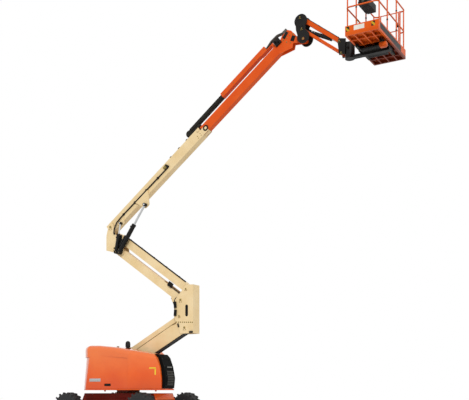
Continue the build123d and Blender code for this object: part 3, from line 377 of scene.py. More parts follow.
def overlay(material, colour, share):
    """Lays a colour over a finish by a share from another node."""
    tree = material.node_tree
    base = next(node for node in tree.nodes if node.type == "BSDF_PRINCIPLED").inputs["Base Color"]
    mixed = add_node(tree, "Mix", {"data_type": "RGBA", 7: linear(colour)},
                     {0: share, 6: base.links[0].from_socket})
    tree.links.new(mixed.outputs[2], base)


# Painted sheen: the gelcoat is tinted paler towards the roof; painted shade: it is tinted a deeper red
# towards the skirt.
waist_level, roof_level, skirt_level = 1.3, 1.85, 0.95
for level, colour, amount in ((roof_level, "#F79455", 0.4), (skirt_level, "#CC3F0C", 0.45)):
    share = add_node(hood_gelcoat.node_tree, "MapRange", {1: waist_level, 2: level, 3: 0.0, 4: amount},
                     {0: position(hood_gelcoat)["Z"]})
    overlay(hood_gelcoat, colour, share)
black_plastic = finish("black_plastic", ("#0A0A09", "#12110F"), 120, (0.45, 0.6), 0.6, gloss=0.15,
                       dust_and_shade=("#3C372F", 60, 0.35))
cream_enamel = finish("cream_enamel", ("#EACD98", "#F3DAAB"), 500, (0.35, 0.48), 0.2, gloss=0.25, coat=0.1,
                      dust_and_shade=("#7E6438", 90, 0.7))
# Anodised aluminium plates, left blank: fine satin grey.
plate_aluminium = finish("anodised_plate", ("#A9ABAB", "#BFC1C0"), 20, (0.3, 0.42), 0.05, metallic=0.6)
marking_yellow = finish("marking_film", ("#E4C022", "#EDCB35"), 90, (0.35, 0.45), 0.05)
dress(orange_enamel, "turntable_frame")
dress(hood_gelcoat, "hood_right", "hood_left")


def on(node, point, direction, turn=0.0):
    """Place on a CAD node where a ray from a point first meets it, Z out of the surface."""
    _, spot, normal, _ = nodes[node].ray_cast(Vector(point), Vector(direction).normalized())
    return at(spot, normal, turn)


deck_top, latch_level, plate_level = 0.926, 1.03, 1.155
for hood, side, body, latch_x in (("right", -1, "right_hood", 0.06), ("left", 1, "left_hood", 0.1)):
    node = f"hood_{hood}"
    latch = pressed(f"latch_bed_{hood}", (0.2, 0.062, 0.006), [(0.012, -0.004)], edge=0.003)
    spot = on(node, (swing_x + latch_x, side * 2, latch_level), (0, -side, 0))
    fit(latch, [spot], black_plastic, body, "black_plastic")
    fit(pressed(f"latch_paddle_{hood}", (0.11, 0.04, 0.012), [(0.006, 0.006), (0.01, -0.003)], edge=0.003),
        [spot @ shift(0.02, 0, 0.001)], black_plastic, body, "black_plastic")
    fit(pressed(f"blank_plate_{hood}", (0.36, 0.08, 0.0025), [(0.006, 0.0008)], edge=0.001),
        [on(node, (swing_x - 0.35, side * 2, plate_level), (0, -side, 0))], plate_aluminium, body,
        "hood_orange")
    knuckle = turned(f"hinge_knuckles_{hood}", 0.012, 0.07, [(0.003, 0.004)], sides=16, edge=0.002)
    inner = pivot[f"{hood}_hood_hinge"]
    fit(knuckle, [at((swing_x + x, inner.y - side * 0.008, inner.z), (1, 0, 0)) for x in (-0.78, -0.16)],
        zinc_yellow, body, "hood_orange")
    fit(pressed(f"hinge_posts_{hood}", (0.06, 0.012, inner.z - deck_top - 0.014), [(0.004, 0.012)],
                edge=0.002), [shift(swing_x + x, inner.y - side * 0.03, deck_top) for x in (-0.745, -0.125)],
        orange_enamel, "turntable", "black")
    fit(turned(f"rubber_stops_{hood}", 0.02, 0.008, [(0.006, 0.004)], sides=16, edge=0.002),
        [shift(swing_x + x, side * 0.86, deck_top) for x in (-0.4, 0.3)], tyre_rubber, "turntable", "black")

mark = pressed("corner_mark", (0.17, 0.035, 0.0015), [(0.003, 0.0003)])
mark_place = on("hood_right", (swing_x + 1.3, -2, 1.4), (0, 1, 0))
fit(mark, [mark_place @ shift(0, 0.05, 0),
           mark_place @ shift(0.068, -0.035, 0) @ Matrix.Rotation(pi / 2, 4, "Z")],
    marking_yellow, "right_hood", "hood_orange")

stack_low, stack_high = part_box("exhaust_stack")
stack_x, stack_y = (stack_low.x + stack_high.x) / 2, (stack_low.y + stack_high.y) / 2
dress(black_enamel, "exhaust_stack")
clamp_level, slot_level = 2.016, 2.075
fit(ring("stack_clamp", 0.066, 0.0505, 0.02, 0.004, 32), [shift(stack_x, stack_y, clamp_level)], black_enamel,
    "right_hood", "black")
fit(turned("stack_collar", 0.084, 0.006, [(0.012, 0.006)], edge=0.002),
    [shift(stack_x, stack_y, stack_low.z + 0.004)], black_plastic, "right_hood", "black_plastic")
fit(pressed("stack_slots", (0.012, 0.05, 0.003), [(0.002, 0.001)], edge=0.001),
    [shift(stack_x, stack_y, slot_level) @ turn @ at((0.061, 0, 0), (1, 0, 0)) for turn in circle(0, 10)],
    tyre_rubber, "right_hood", "black")

# Front cover
# A black rotationally moulded cover closes the right hood's nose; it has a ribbed grille and a marker lamp.
# Grille bars are pressed steel, grey with stone dust.
# The cover is unpainted black polyethylene: matt and very dark.
cover_plastic = finish("cover_polyethylene", ("#040404", "#080807"), 90, (0.55, 0.7), 0.5, gloss=0.08)
dress(cover_plastic, "front_fascia")
dress(black_plastic, "ground_controls")
dusty_steel = finish("dusty_steel", ("#34332F", "#55534C"), 25, (0.5, 0.7), 0.6, metallic=0.3,
                     dust_and_shade=("#6B665C", 40, 0.5))
lens_white = finish("acrylic_lens", ("#6A6A64", "#7C7B74"), 60, (0.08, 0.14), 0.1, coat=0.6)
grille_y, grille_foot, grille_pitch = -0.37, 1.03, 0.042
on_cover = ("right_hood", "black_plastic")
for level in range(9):
    place = on("front_fascia", (0, grille_y, grille_foot + grille_pitch * level), (-1, 0, 0))
    fit(pressed(f"grille_bar_{level}", (0.27, 0.022, 0.008), [(0.004, 0.004)], edge=0.002),
        [place], dusty_steel, *on_cover)
for name, y in (("grille_side_right", -0.515), ("grille_side_left", -0.225)):
    fit(pressed(name, (0.02, 0.05, 0.01), [(0.003, 0.003)], edge=0.002),
        [on("front_fascia", (0, y, grille_foot + 0.05 * row), (-1, 0, 0)) for row in range(8)], black_plastic,
        *on_cover)
lamp_place = on("front_fascia", (0, grille_y, 1.47), (-1, 0, 0))
fit(pressed("marker_lamp_body", (0.24, 0.045, 0.012), [(0.006, 0.004), (0.003, -0.002)], edge=0.003),
    [lamp_place], black_plastic, *on_cover)
fit(pressed("marker_lamp_lens", (0.2, 0.024, 0.008), [(0.004, 0.004)], edge=0.004),
    [lamp_place @ shift(0, 0, 0.011)], lens_white, *on_cover)
fit(bolt("cover_screws", 0.007), [on("front_fascia", (0, y, z), (-1, 0, 0)) for y in (-0.55, -0.2)
                                  for z in (1.0, 1.25, 1.5, 1.68)], dusty_steel, *on_cover)

# Engine, ballast, tanks and ground controls
# The engine stands in cast iron under the right hood; the ballast is a casting bolted into the tail.
# The tanks are moulded polyethylene, and the ground control box carries its switches on the front.
cast_iron = finish("painted_cast_iron", ("#1A1A1B", "#262626"), 90, (0.5, 0.7), 1.2, fine_mm=4)
tank_plastic = finish("tank_polyethylene", ("#151515", "#202020"), 120, (0.5, 0.6), 0.8)
signal_red = finish("signal_red_plastic", ("#B3201B", "#C42A22"), 60, (0.3, 0.4), 0.1)
dress(cast_iron, "engine", "counterweight")
dress(tank_plastic, "fluid_tanks")
low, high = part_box("engine")
middle_y = (low.y + high.y) / 2
cover = pressed("rocker_cover", (0.6, 0.2, 0.05), [(0.02, 0.015)], edge=0.012)
on_castings = ("turntable", "cast")
fit(cover, [shift(low.x + 0.45, middle_y, high.z)], black_enamel, *on_castings)
fit(bolt("rocker_cover_bolts", 0.008),
    [shift(low.x + 0.2 + 0.1 * i, middle_y + y, high.z + 0.012) for i in range(6) for y in (-0.115, 0.115)],
    zinc_yellow, *on_castings)
fit(turned("air_filter", 0.085, 0.3, [(0.012, 0.01), (0.02, 0.012)], edge=0.006),
    [at((low.x + 0.16, high.y - 0.12, high.z + 0.09), (1, 0, 0))], tank_plastic, *on_castings)
fit(turned("fan_pulley", 0.12, 0.02, [(0.012, -0.008), (0.05, 0.014)], edge=0.003),
    [at((high.x, middle_y, low.z + 0.36), (1, 0, 0))], black_enamel, *on_castings)
fit(turned("oil_filter", 0.048, 0.11, [(0.006, 0.006)], edge=0.006),
    [at((low.x + 0.3, low.y, low.z + 0.28), (0, -1, 0))], signal_red, *on_castings)
fit(pressed("block_ribs", (0.012, 0.3, 0.012), [(0.003, 0.003)], edge=0.002),
    [at((low.x + 0.42 + 0.07 * i, low.y, low.z + 0.3), (0, -1, 0)) for i in range(6)], cast_iron,
    *on_castings)
low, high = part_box("counterweight")
ledge_level = 1.326
fit(bolt("ballast_bolts", 0.018), [shift(low.x + 0.26, y, ledge_level) for y in (-0.55, -0.35, 0.35, 0.55)],
    zinc_yellow, *on_castings)
fit(ring("ballast_eyes", 0.045, 0.024, 0.024, 0.006, 24),
    [at((low.x + 0.2, y - 0.012, high.z + 0.03), (0, 1, 0)) for y in (-0.09, 0.09)], zinc_yellow,
    *on_castings)
low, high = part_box("fluid_tanks")
filler = turned("filler_caps", 0.045, 0.03, [(0.006, 0.01), (0.012, -0.004)], sides=20, edge=0.004)
filler_y, fuel_tank_top = 0.56, 1.4
fit(filler, [shift(low.x + 0.2, filler_y, high.z), shift(low.x + 0.95, filler_y, fuel_tank_top)], signal_red,
    "turntable", "tank_black")
fit(pressed("tank_straps", (0.035, 0.012, high.z - deck_top), [(0.004, 0.002)], edge=0.002),
    [shift(low.x + x, high.y + 0.005, deck_top) for x in (0.12, 0.52)], dusty_steel, "turntable",
    "tank_black")
low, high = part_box("ground_controls")
panel_level = 1.2
panel = at((high.x, (low.y + high.y) / 2, panel_level), (1, 0, 0))
on_controls = ("turntable", "black_plastic")
fit(pressed("ground_panel_plate", (0.22, 0.3, 0.003), [(0.006, 0.001)], edge=0.001), [panel], plate_aluminium,
    *on_controls)
fit(turned("ground_stop_button", 0.012, 0.014, [(-0.008, 0.0), (0.0, 0.01), (0.008, 0.004)], sides=24,
           edge=0.002), [panel @ shift(-0.06, 0.1, 0.003)], signal_red, *on_controls)
fit(turned("ground_switches", 0.01, 0.008, [(0.004, 0.002), (0.002, 0.022)], sides=12, edge=0.001),
    [panel @ shift(x, y, 0.003) for x in (-0.06, -0.02, 0.02, 0.06) for y in (0.02, -0.06)], chrome,
    *on_controls)
fit(turned("hour_meter", 0.028, 0.006, [(0.005, -0.003)], sides=24, edge=0.001),
    [panel @ shift(0.04, 0.1, 0.003)], black_plastic, *on_controls)

# Tower
# Two pairs of welded arms and the uprights between are sprayed cream; each joint turns on a hardened pin.
# Keeper plates bolted to the cheeks hold the pins, whose ends carry a domed grease cap.
dress(cream_enamel, "lower_tower_arm", "lower_tower_link", "mid_upright", "upper_tower_arm",
      "upper_tower_link", "top_upright")
# Braided hydraulic hose under black rubber.
hose_rubber = finish("hose_rubber", ("#131313", "#1D1D1D"), 40, (0.5, 0.65), 0.3, gloss=0.2)
dress(hose_rubber, "boom_hose", "tower_hose", "upright_hose")
# Stainless braid over the short nose hoses reads as a dull grey.
braided_steel = finish("stainless_braid", ("#45433E", "#6A6760"), 8, (0.45, 0.6), 0.6, metallic=0.4,
                       fine_mm=4)
dress(braided_steel, "nose_hoses")
slide = {joint["name"]: Vector(joint["axis"]) for joint in frame["record"]["behaviour"]["joints"]}


def side_frame(point, degrees=0.0):
    """Frame of an arm seen from its right side: X along it, Y above it, Z out of its right face."""
    return (Matrix.Translation(point) @ Matrix.Rotation(-radians(degrees), 4, "Y")
            @ Matrix.Rotation(pi / 2, 4, "X"))


def inside(frame_of_arm, along, above, out, turn=0.0):
    """Place in such a frame, in millimetres."""
    return frame_of_arm @ shift(along / 1000, above / 1000, out / 1000) @ Matrix.Rotation(turn, 4, "Z")


def both_sides(frame_of_arm, along, above, out):
    """Places on both sides of an arm, in millimetres in its frame, Z outwards."""
    return [inside(frame_of_arm, along, above, side * out) @ Matrix.Rotation(turn, 4, "X")
            for side, turn in ((1, 0.0), (-1, pi))]


def pin_ends(name, centre, radius, reach, body, slot, coating, lean=0.0, sides=(1, -1)):
    """Grease caps, keeper plates and their bolts on both ends of a pin."""
    ends = [at(centre + Vector((0, side * reach, 0)), (0, side, 0)) for side in sides]
    fit(turned(f"{name}_pin_caps", 0.8 * radius, 0.004, [(0.3 * radius, 0.004), (0.2 * radius, 0.002)],
               edge=0.0015), ends, zinc_yellow, body, slot)
    below = [end @ Matrix.Rotation(lean, 4, "Z") @ shift(0, -1.5 * radius, -0.014) for end in ends]
    fit(pressed(f"{name}_keepers", (2.6 * radius, 0.9 * radius, 0.006), [(0.002, 0.002)], edge=0.0015),
        below, coating, body, slot)
    spots = [place @ shift(x * radius, 0, 0.008) for place in below for x in (-0.9, 0.9)]
    fit(bolt(f"{name}_keeper_bolts", 0.007), spots, zinc_yellow, body, slot)


pin_ends("tower_foot", pivot["tower_lift"], 0.035, 0.179, "turntable", "black", orange_enamel)
pin_ends("foot_link", pivot["lower_link_hinge"], 0.025, 0.179, "turntable", "black", orange_enamel)
arm_head = pivot["mid_upright_hinge"]
for name, centre, radius in (("arm_head", arm_head, 0.035),
                             ("arm_head_link", arm_head + Vector((-0.16, 0, 0.3)), 0.025),
                             ("upper_foot", pivot["upper_arm_hinge"], 0.035),
                             ("upper_foot_link", pivot["upper_link_hinge"], 0.025)):
    pin_ends(name, centre, radius, 0.164, "mid_upright", "cream", cream_enamel)
top_pivot = pivot["top_upright_hinge"]
pin_ends("upper_head", top_pivot, 0.035, 0.139, "top_upright", "cream", cream_enamel)
pin_ends("boom_foot", pivot["boom_lift"], 0.04, 0.139, "top_upright", "cream", cream_enamel)
# The level cylinder passes close to this pin's right end, which is left plain.
pin_ends("upper_head_link", top_pivot + Vector((0.16, 0, 0.27)), 0.025, 0.139, "top_upright", "cream",
         cream_enamel, sides=(1,))
upright = side_frame(arm_head)
upright_face, seam_fall = 150, 0.05
on_upright = ("mid_upright", "cream")
fit(bolt("upright_seam_bolts", 0.011), [inside(upright, along, 135 - seam_fall * along, upright_face)
     for along in (-240, -180, -120, -60, 0, 60, 120, 180, 235)], zinc_yellow, *on_upright)
fit(pressed("upright_junctions", (0.07, 0.16, 0.035), [(0.008, 0.006)], edge=0.005),
    [inside(upright, -278, 590, upright_face, 0.1), inside(upright, -272, 385, upright_face, -0.1)],
    black_plastic, *on_upright)
# Painted shade: a black plate set back inside the upright behind its slot makes the slot read dark.
fit(pressed("upright_slot_shade_plate", (0.115, 0.33, 0.004), [(0.01, 0.001)]), [inside(upright, 61, 430, 131)],
    black_plastic, *on_upright)
fit(pressed("upright_cable_clamp", (0.035, 0.1, 0.02), [(0.005, 0.005)], edge=0.003),
    [inside(upright, -186, 62, upright_face, 0.3)], black_plastic, *on_upright)
fit(pressed("upright_manifold", (0.1, 0.05, 0.03), [(0.006, 0.006)], edge=0.004),
    [inside(upright, 200, -120, upright_face)], black_enamel, *on_upright)
fit(turned("upright_manifold_ports", 0.013, 0.01, [(0.003, 0.012), (0.003, 0.006)], sides=20, edge=0.002),
    [inside(upright, along, -120, 184) for along in (175, 225)], dusty_steel, *on_upright)
# In an arm's frame these turn Z to the side below the arm and to the side above it.
to_below, to_above = Matrix.Rotation(pi / 2, 4, "X"), Matrix.Rotation(-pi / 2, 4, "X")
lower_angle, upper_angle = 28, 180 - 35.2
lower_arm = side_frame(pivot["tower_lift"], lower_angle)
# Painted shade: a black plate under the lower arm gives its underside the darkness of shade.
fit(pressed("lower_arm_shade_plate", (1.66, 0.2, 0.012), [(0.008, -0.004)], edge=0.003),
    [inside(lower_arm, 1730, -100, 0) @ to_below], black_plastic, "lower_arm", "cream")
upper_arm = side_frame(pivot["upper_arm_hinge"], upper_angle)
fit(pressed("upper_arm_valve", (0.15, 0.12, 0.032), [(0.008, 0.006)], edge=0.005),
    [inside(upper_arm, 520, -140, 90)], black_plastic, "upper_arm", "cream")
line = at(inside(upper_arm, 120, -104, 101).translation, inside(upper_arm, 1, 0, 0).col[0].xyz)
fit(turned("upper_arm_pipe", 0.011, 0.34, sides=16, edge=0.002), [line], hose_rubber, "upper_arm", "cream")
upper_link = side_frame(pivot["upper_link_hinge"], upper_angle)
fit(pressed("tower_hose_clips", (0.03, 0.036, 0.034), [(0.004, 0.002)], edge=0.003),
    [inside(upper_link, along, -116, 40) @ to_below @ shift(0, 0, -0.016)
     for along in (420, 900, 1380, 1860, 2300)], black_plastic, "upper_link", "hose")

# Hydraulic cylinders
# Honed steel barrels painted black with a screwed gland, welded port blocks and a steel return pipe.
# Rods are hard-chromed, and their eyes carry black seal cans.
# Each row is a barrel's radius, its rod's and its length.
CYLINDERS = {"tower": (0.05, 0.028, 0.78), "boom": (0.055, 0.03, 0.84), "level": (0.042, 0.02, 0.475),
             "jib": (0.034, 0.018, 0.8)}
for name, (barrel, rod, length) in CYLINDERS.items():
    body = f"{name}_barrel"
    dress(black_enamel, f"{name}_cylinder_barrel")
    dress(chrome, f"{name}_cylinder_rod")
    line = at(pivot[f"{name}_barrel_hinge"], slide[f"{name}_rod_slide"])
    gland = turned(f"{name}_gland", barrel - 0.003, 0.003, [(0.006, 0.004), (barrel - rod - 0.014, 0.003)],
                   edge=0.001)
    fit(gland, [line @ shift(0, 0, length)], black_enamel, body, "black")
    fit(ring(f"{name}_gland_nut", barrel + 0.006, barrel - 0.002, 0.04, 0.003, 32),
        [line @ shift(0, 0, length - 0.045)], black_enamel, body, "black")
    band = ring(f"{name}_barrel_bands", barrel + 0.004, barrel - 0.002, 0.018, 0.002, 32)
    fit(band, [line @ shift(0, 0, share * length) for share in (0.3, 0.62)], black_enamel, body, "black")
    block = pressed(f"{name}_port_blocks", (0.05, 0.04, 0.024), [(0.004, 0.004)], edge=0.003)
    first_port, last_port = 0.2 * length, length - 0.09
    fit(block, [line @ at((0, barrel - 0.004, z), (0, 1, 0)) for z in (first_port, last_port)], black_enamel,
        body, "black")
    fit(turned(f"{name}_return_pipe", 0.007, last_port - first_port, sides=16, edge=0.002),
        [line @ shift(0, barrel + 0.012, first_port)], dusty_steel, body, "black")
fit(turned("jib_cylinder_sleeve", 0.0395, 0.44, [(0.003, 0.004)], edge=0.003),
    [at(pivot["jib_barrel_hinge"], slide["jib_rod_slide"]) @ shift(0, 0, 0.3)], hose_rubber, "jib_barrel",
    "black")
boom_line = at(pivot["boom_barrel_hinge"], slide["boom_rod_slide"])
fit(pressed("boom_valve_block", (0.085, 0.3, 0.034), [(0.006, 0.004)], edge=0.004),
    [boom_line @ at((0, 0.05, 0.32), (0, 1, 0))], black_enamel, "boom_barrel", "black")
fit(turned("boom_valve_fittings", 0.013, 0.008, [(0.002, 0.006)], sides=6, edge=0.001),
    [boom_line @ at((x, 0.088, z), (0, 1, 0)) for x in (-0.02, 0.02) for z in (0.27, 0.34, 0.4)], dusty_steel,
    "boom_barrel", "black")

boom_angle = 37
boom = side_frame(pivot["boom_lift"], boom_angle)
link_head = pivot["platform_support_hinge"] + Vector((-0.045, 0, 0.275))
# Each row is a rod eye's place, its radius and half its width.
HEADS = {"tower": (inside(upper_arm, 560, -30, 0), 0.04, 0.054),
         "boom": (inside(boom, 1215, -350, 190), 0.042, 0.045),
         "level": (inside(boom, 340, -190, 190), 0.032, 0.04),
         "jib": (at(link_head, (0, -1, 0)), 0.028, 0.038)}
for name, (head, radius, half) in HEADS.items():
    fit(ring(f"{name}_rod_eye_can", radius + 0.002, radius - 0.001, 2 * half + 0.002, 0.002, 32),
        [head @ shift(0, 0, -half - 0.001)], black_enamel, f"{name}_rod", "black")
    fit(ring(f"{name}_rod_eye_seals", radius + 0.0015, 0.6 * radius, 0.003, 0.001, 32),
        [head @ shift(0, 0, z) for z in (-half - 0.002, half - 0.001)], black_enamel, f"{name}_rod", "black")
top_upright = side_frame(pivot["boom_lift"])
for name, body, frame_of_arm, spots in (("cylinder_pin_caps", "main_boom", boom, ((1215, -350), (340, -190))),
                                        ("cylinder_foot_caps", "top_upright", top_upright,
                                         ((353, -715), (235, -700)))):
    fit(turned(name, 0.026, 0.004, [(0.006, 0.004)], edge=0.0015),
        [on(body, inside(frame_of_arm, along, above, 1000).translation, (0, 1, 0)) for along, above in spots],
        black_enamel, body, "cream")
fit(pressed("top_upright_chafe_plate", (0.19, 0.36, 0.005), [(0.01, 0.002)], edge=0.002),
    [inside(top_upright, 297, -425, 125)], black_plastic, "top_upright", "cream")

# Main boom and fly boom
# A cream base tube with the orange fly tube sliding in it on nylon pads; the cable track rolls up over both.
# Clips hold the hose on the right side, and hydraulic fittings sit on the fly's nose.
dress(cream_enamel, "main_boom")
fly_enamel = finish("fly_enamel", ("#DE5216", "#E65E20"), 500, (0.32, 0.44), 0.2, gloss=0.15,
                    dust_and_shade=("#7A2C14", 80, 0.4))
dress(fly_enamel, "fly_boom", "track_tray")
track_plastic = finish("track_plastic", ("#1F1D19", "#2B2822"), 60, (0.55, 0.7), 0.5, gloss=0.15)
dress(track_plastic, "cable_track")
base_face, fly_face, track_face, tray_face = 95, 75, 60, 65
fit(pressed("boom_top_clips", (0.06, 0.022, 0.02), [(0.005, 0.006)], edge=0.003),
    [inside(boom, along, 122, 82) @ to_above for along in (2502, 2820, 3115)], black_plastic, "main_boom",
    "hose")
hose_fall = 0.0079
fit(pressed("boom_hose_clips", (0.045, 0.06, 0.01), [(0.004, 0.024)], edge=0.003),
    [inside(boom, along, -20 - hose_fall * (along - 400), base_face) for along in (520, 980, 1440, 1900)],
    black_plastic, "main_boom", "hose")
on_base = ("main_boom", "cream")
fit(pressed("hose_end_pad", (0.13, 0.085, 0.008), [(0.006, 0.003)], edge=0.002),
    [inside(boom, 2235, 42, base_face, 0.15)], zinc_yellow, *on_base)
fit(pressed("hose_end_fitting", (0.05, 0.11, 0.03), [(0.006, 0.008)], edge=0.004),
    [inside(boom, 2296, 8, base_face, 0.4)], black_enamel, "main_boom", "hose")
fit(pressed("hose_start_fitting", (0.05, 0.05, 0.02), [(0.006, 0.006)], edge=0.004),
    [inside(boom, 2, -236, 131)], black_enamel, "main_boom", "hose")
# The mouth is lined with wear pads and lengthened by two collar plates and a sole between the fly's fins.
fit(pressed("mouth_pads", (0.05, 0.07, 0.014), [(0.004, 0.003)], edge=0.002),
    [place for above in (-75, 50) for place in both_sides(boom, 3560, above, fly_face + 2)], black_plastic,
    *on_base)
fit(bolt("mouth_pad_bolts", 0.008), [place for along in (3400, 3500) for above in (-100, -40)
                                     for place in both_sides(boom, along, above, base_face)], zinc_yellow,
    *on_base)
collar_middle, hoop_station, hoop_drop = 3638, 3700, -50
fit(pressed("mouth_sole_tongue", (0.185, 0.112, 0.012), edge=0.002),
    [inside(boom, collar_middle, -133, 0) @ to_below], cream_enamel, *on_base)
fit(pressed("mouth_collar_plates", (0.185, 0.169, 0.012), [(0.004, 0.004)], edge=0.002),
    both_sides(boom, collar_middle, -61, fly_face + 4), cream_enamel, *on_base)
fit(ring("roller_hoop", 0.074, 0.042, 0.012, 0.003, 32),
    [inside(boom, hoop_station, hoop_drop, base_face - 1)], black_enamel, *on_base)
fit(turned("side_roller", 0.036, 0.008, [(0.004, 0.002)], edge=0.002),
    [inside(boom, hoop_station, hoop_drop, base_face)], cream_enamel, *on_base)
# The track runs back over the fly from its tray, bends round and returns to the base tube.
track_pitch, bend_station, upper_run, lower_run = 90, 3252, 262, 168
track_places = ([(4500 - (step + 0.5) * track_pitch, upper_run) for step in range(13)]
                + [(bend_station + (step + 0.5) * track_pitch, lower_run) for step in range(4)])
fit(pressed("track_side_plates", (0.092, 0.074, 0.002), [(0.006, 0.0015)], edge=0.001),
    [place for along, above in track_places for place in both_sides(boom, along, above, track_face)],
    track_plastic, "fly_boom", "track")
fit(turned("track_pins", 0.009, 0.002, [(0.002, 0.001)], sides=12),
    [place for along, above in track_places for place in both_sides(boom, along + track_pitch / 2, above,
    track_face + 2)], black_enamel, "fly_boom", "track")
fit(ring("track_bend_cheeks", 0.087, 0.012, 0.003, 0.0012, 32),
    both_sides(boom, bend_station, (upper_run + lower_run) / 2, track_face), track_plastic, "fly_boom",
    "track")
on_fly = ("fly_boom", "orange")
fit(bolt("tray_bolts", 0.009),
    [place for along in (4560, 4930, 5300, 5670, 5990) for place in both_sides(boom, along, 275, tray_face)],
    zinc_yellow, *on_fly)
block = pressed("nose_valve_block", (0.17, 0.15, 0.03), [(0.008, 0.005)], edge=0.004)
fit(block, [inside(boom, 6335, 110, fly_face)], black_enamel, *on_fly)
fit(turned("nose_valve_coils", 0.026, 0.02, [(0.003, 0.03), (0.012, 0.012)], edge=0.003),
    [inside(boom, along, above, fly_face + 33) for along, above in ((6300, 140), (6365, 80))], black_plastic,
    *on_fly)
fit(turned("nose_hose_unions", 0.019, 0.02, [(0.002, 0.03)], sides=6, edge=0.002),
    [at(inside(boom, 6550, 200, out).translation, slide["boom_telescope"]) for out in (-36, 0, 36)],
    dusty_steel, *on_fly)
fit(pressed("nose_inspection_cover", (0.13, 0.1, 0.004), [(0.008, 0.004)], edge=0.002),
    [inside(boom, 6665, -120, fly_face, 0.5)], black_plastic, *on_fly)
fit(pressed("nose_side_plate", (0.17, 0.08, 0.006), [(0.01, 0.003)], edge=0.002),
    [inside(boom, 6575, 92, fly_face, 0.3)], black_enamel, *on_fly)
nose_bolts = ((6470, 40), (6560, 10), (6650, 0), (6720, -30), (6560, -150), (6500, -60))
fit(bolt("nose_bolts", 0.011), [inside(boom, along, above, fly_face) for along, above in nose_bolts],
    zinc_yellow, *on_fly)
pin_ends("nose", pivot["jib_bracket_hinge"], 0.03, 0.125, "fly_boom", "orange", fly_enamel, pi)

# Jib
# A cast and welded black bracket holds the two orange parallel bars that keep the platform level.
# The rotator stands on the support at their far end.
jib_enamel = finish("jib_enamel", ("#D8500F", "#E45C18"), 400, (0.32, 0.45), 0.2, gloss=0.15,
                    dust_and_shade=("#4E1A0C", 90, 0.9))
dress(jib_enamel, "jib_upper_link", "jib_lower_link")
dress(black_enamel, "jib_bracket", "platform_support", "platform_carrier")
support_head = pivot["platform_support_hinge"]
for name, centre, reach, body in (("jib_foot", pivot["jib_lift"], 0.136, "jib_bracket"),
                                  ("jib_link_foot", pivot["jib_upper_link_hinge"], 0.136, "jib_bracket"),
                                  ("jib_head", support_head, 0.124, "platform_support"),
                                  ("jib_link_head", link_head, 0.124, "platform_support")):
    pin_ends(name, centre, 0.02, reach, body, "black", black_enamel)
# Two rigid hydraulic pipes run along the upper bar, on its top edges.
jib_angle, pipe_out = -37.7, 52
jib_bar = side_frame(pivot["jib_upper_link_hinge"], jib_angle)
fit(turned("jib_pipes", 0.008, 1.04, sides=16, edge=0.002),
    [at(inside(jib_bar, 130, 60, out).translation, jib_bar.col[0].xyz) for out in (pipe_out, -pipe_out)],
    hose_rubber, "jib_upper_link", "hose")
fit(pressed("jib_pipe_clips", (0.03, 0.017, 0.016), [(0.003, 0.003)], edge=0.002),
    [inside(jib_bar, along, 52, out) @ to_above for along in (200, 520, 840, 1130)
     for out in (pipe_out, -pipe_out)], black_plastic, "jib_upper_link", "hose")
bracket = side_frame(pivot["jib_bracket_hinge"])
bracket_face = 122
fit(ring("bracket_bosses", 0.055, 0.032, 0.006, 0.002, 32),
    both_sides(bracket, 0, 0, bracket_face), black_enamel, "jib_bracket", "black")
bracket_bolts = ((-95, 300), (-20, 300), (-140, 470), (10, 470), (-65, 545))
fit(bolt("bracket_bolts", 0.011), [inside(bracket, along, above, bracket_face)
                                   for along, above in bracket_bolts], black_enamel, "jib_bracket", "black")
rotator = pivot["platform_rotate"]
turret = shift(rotator.x, rotator.y, support_head.z + 0.21)
fit(turned("rotator_cap", 0.1, 0.008, [(0.012, 0.01), (0.02, 0.008)], edge=0.004), [turret], black_enamel,
    "platform_support", "black")
fit(bolt("rotator_cap_bolts", 0.008), [turret @ spot for spot in circle(0.088, 10, 0.008)], zinc_yellow,
    "platform_support", "black")
fit(turned("rotator_valve", 0.03, 0.05, [(0.004, 0.02), (0.01, 0.01)], edge=0.003),
    [at((rotator.x, -0.105, support_head.z + 0.08), (0, -1, 0))], black_enamel, "platform_support", "black")

# Platform
# An orange tube-and-sheet basket on black beams, with a tread floor and a self-closing gate.
# Yellow and black film marks its corners; the plates on its toe boards are left blank.
low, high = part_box("platform_floor")
middle_x, underside = (low.x + high.x) / 2, low.z - 0.06
# Painted shade: the dark red laid into its hollows by ambient occlusion, deepest in the underside's cells.
platform_enamel = finish("platform_enamel", ("#E05812", "#EA661C"), 300, (0.32, 0.45), 0.2, gloss=0.15,
                         dust_and_shade=("#5A1608", 160, 1.2))
rail_enamel = finish("rail_enamel", ("#DE5814", "#EA661E"), 300, (0.3, 0.42), 0.1, gloss=0.2)
# Painted shade darkens the left half underneath; a black scuff strip is painted on the toe board's outer
# face.
tree = platform_enamel.node_tree
place = position(platform_enamel)
underneath = add_node(tree, "Math", {"operation": "LESS_THAN", 1: low.z + 0.057}, {0: place["Z"]})
left_half = add_node(tree, "MapRange", {1: -0.5, 2: 0.25, 3: 0.1, 4: 0.86}, {0: place["Y"]})
shade = add_node(tree, "Math", {"operation": "MULTIPLY"}, {0: underneath, 1: left_half})
overlay(platform_enamel, "#4A0F07", shade)
strip = None
for axis, middle, half in (("X", high.x, 0.003), ("Z", low.z + 0.115, 0.065), ("Y", -0.12, 0.7)):
    band = add_node(tree, "Math", {"operation": "COMPARE", 1: middle, 2: half}, {0: place[axis]})
    strip = band if strip is None else add_node(tree, "Math", {"operation": "MULTIPLY"}, {0: strip, 1: band})
overlay(platform_enamel, "#0A0503", strip)
dress(platform_enamel, "platform_floor")
dress(rail_enamel, "platform_rails", "platform_gate")
dress(black_plastic, "control_console")
floor_top, toe_top = low.z + 0.06, high.z
for number in (-1, 0, 1):
    fit(pressed(f"floor_tread_{number + 2}", (0.7, 0.58, 0.003), [(0.02, 0.002), (0.008, -0.001)],
                edge=0.001), [shift(middle_x, 0.6 * number, floor_top)], dusty_steel, "platform", "black")
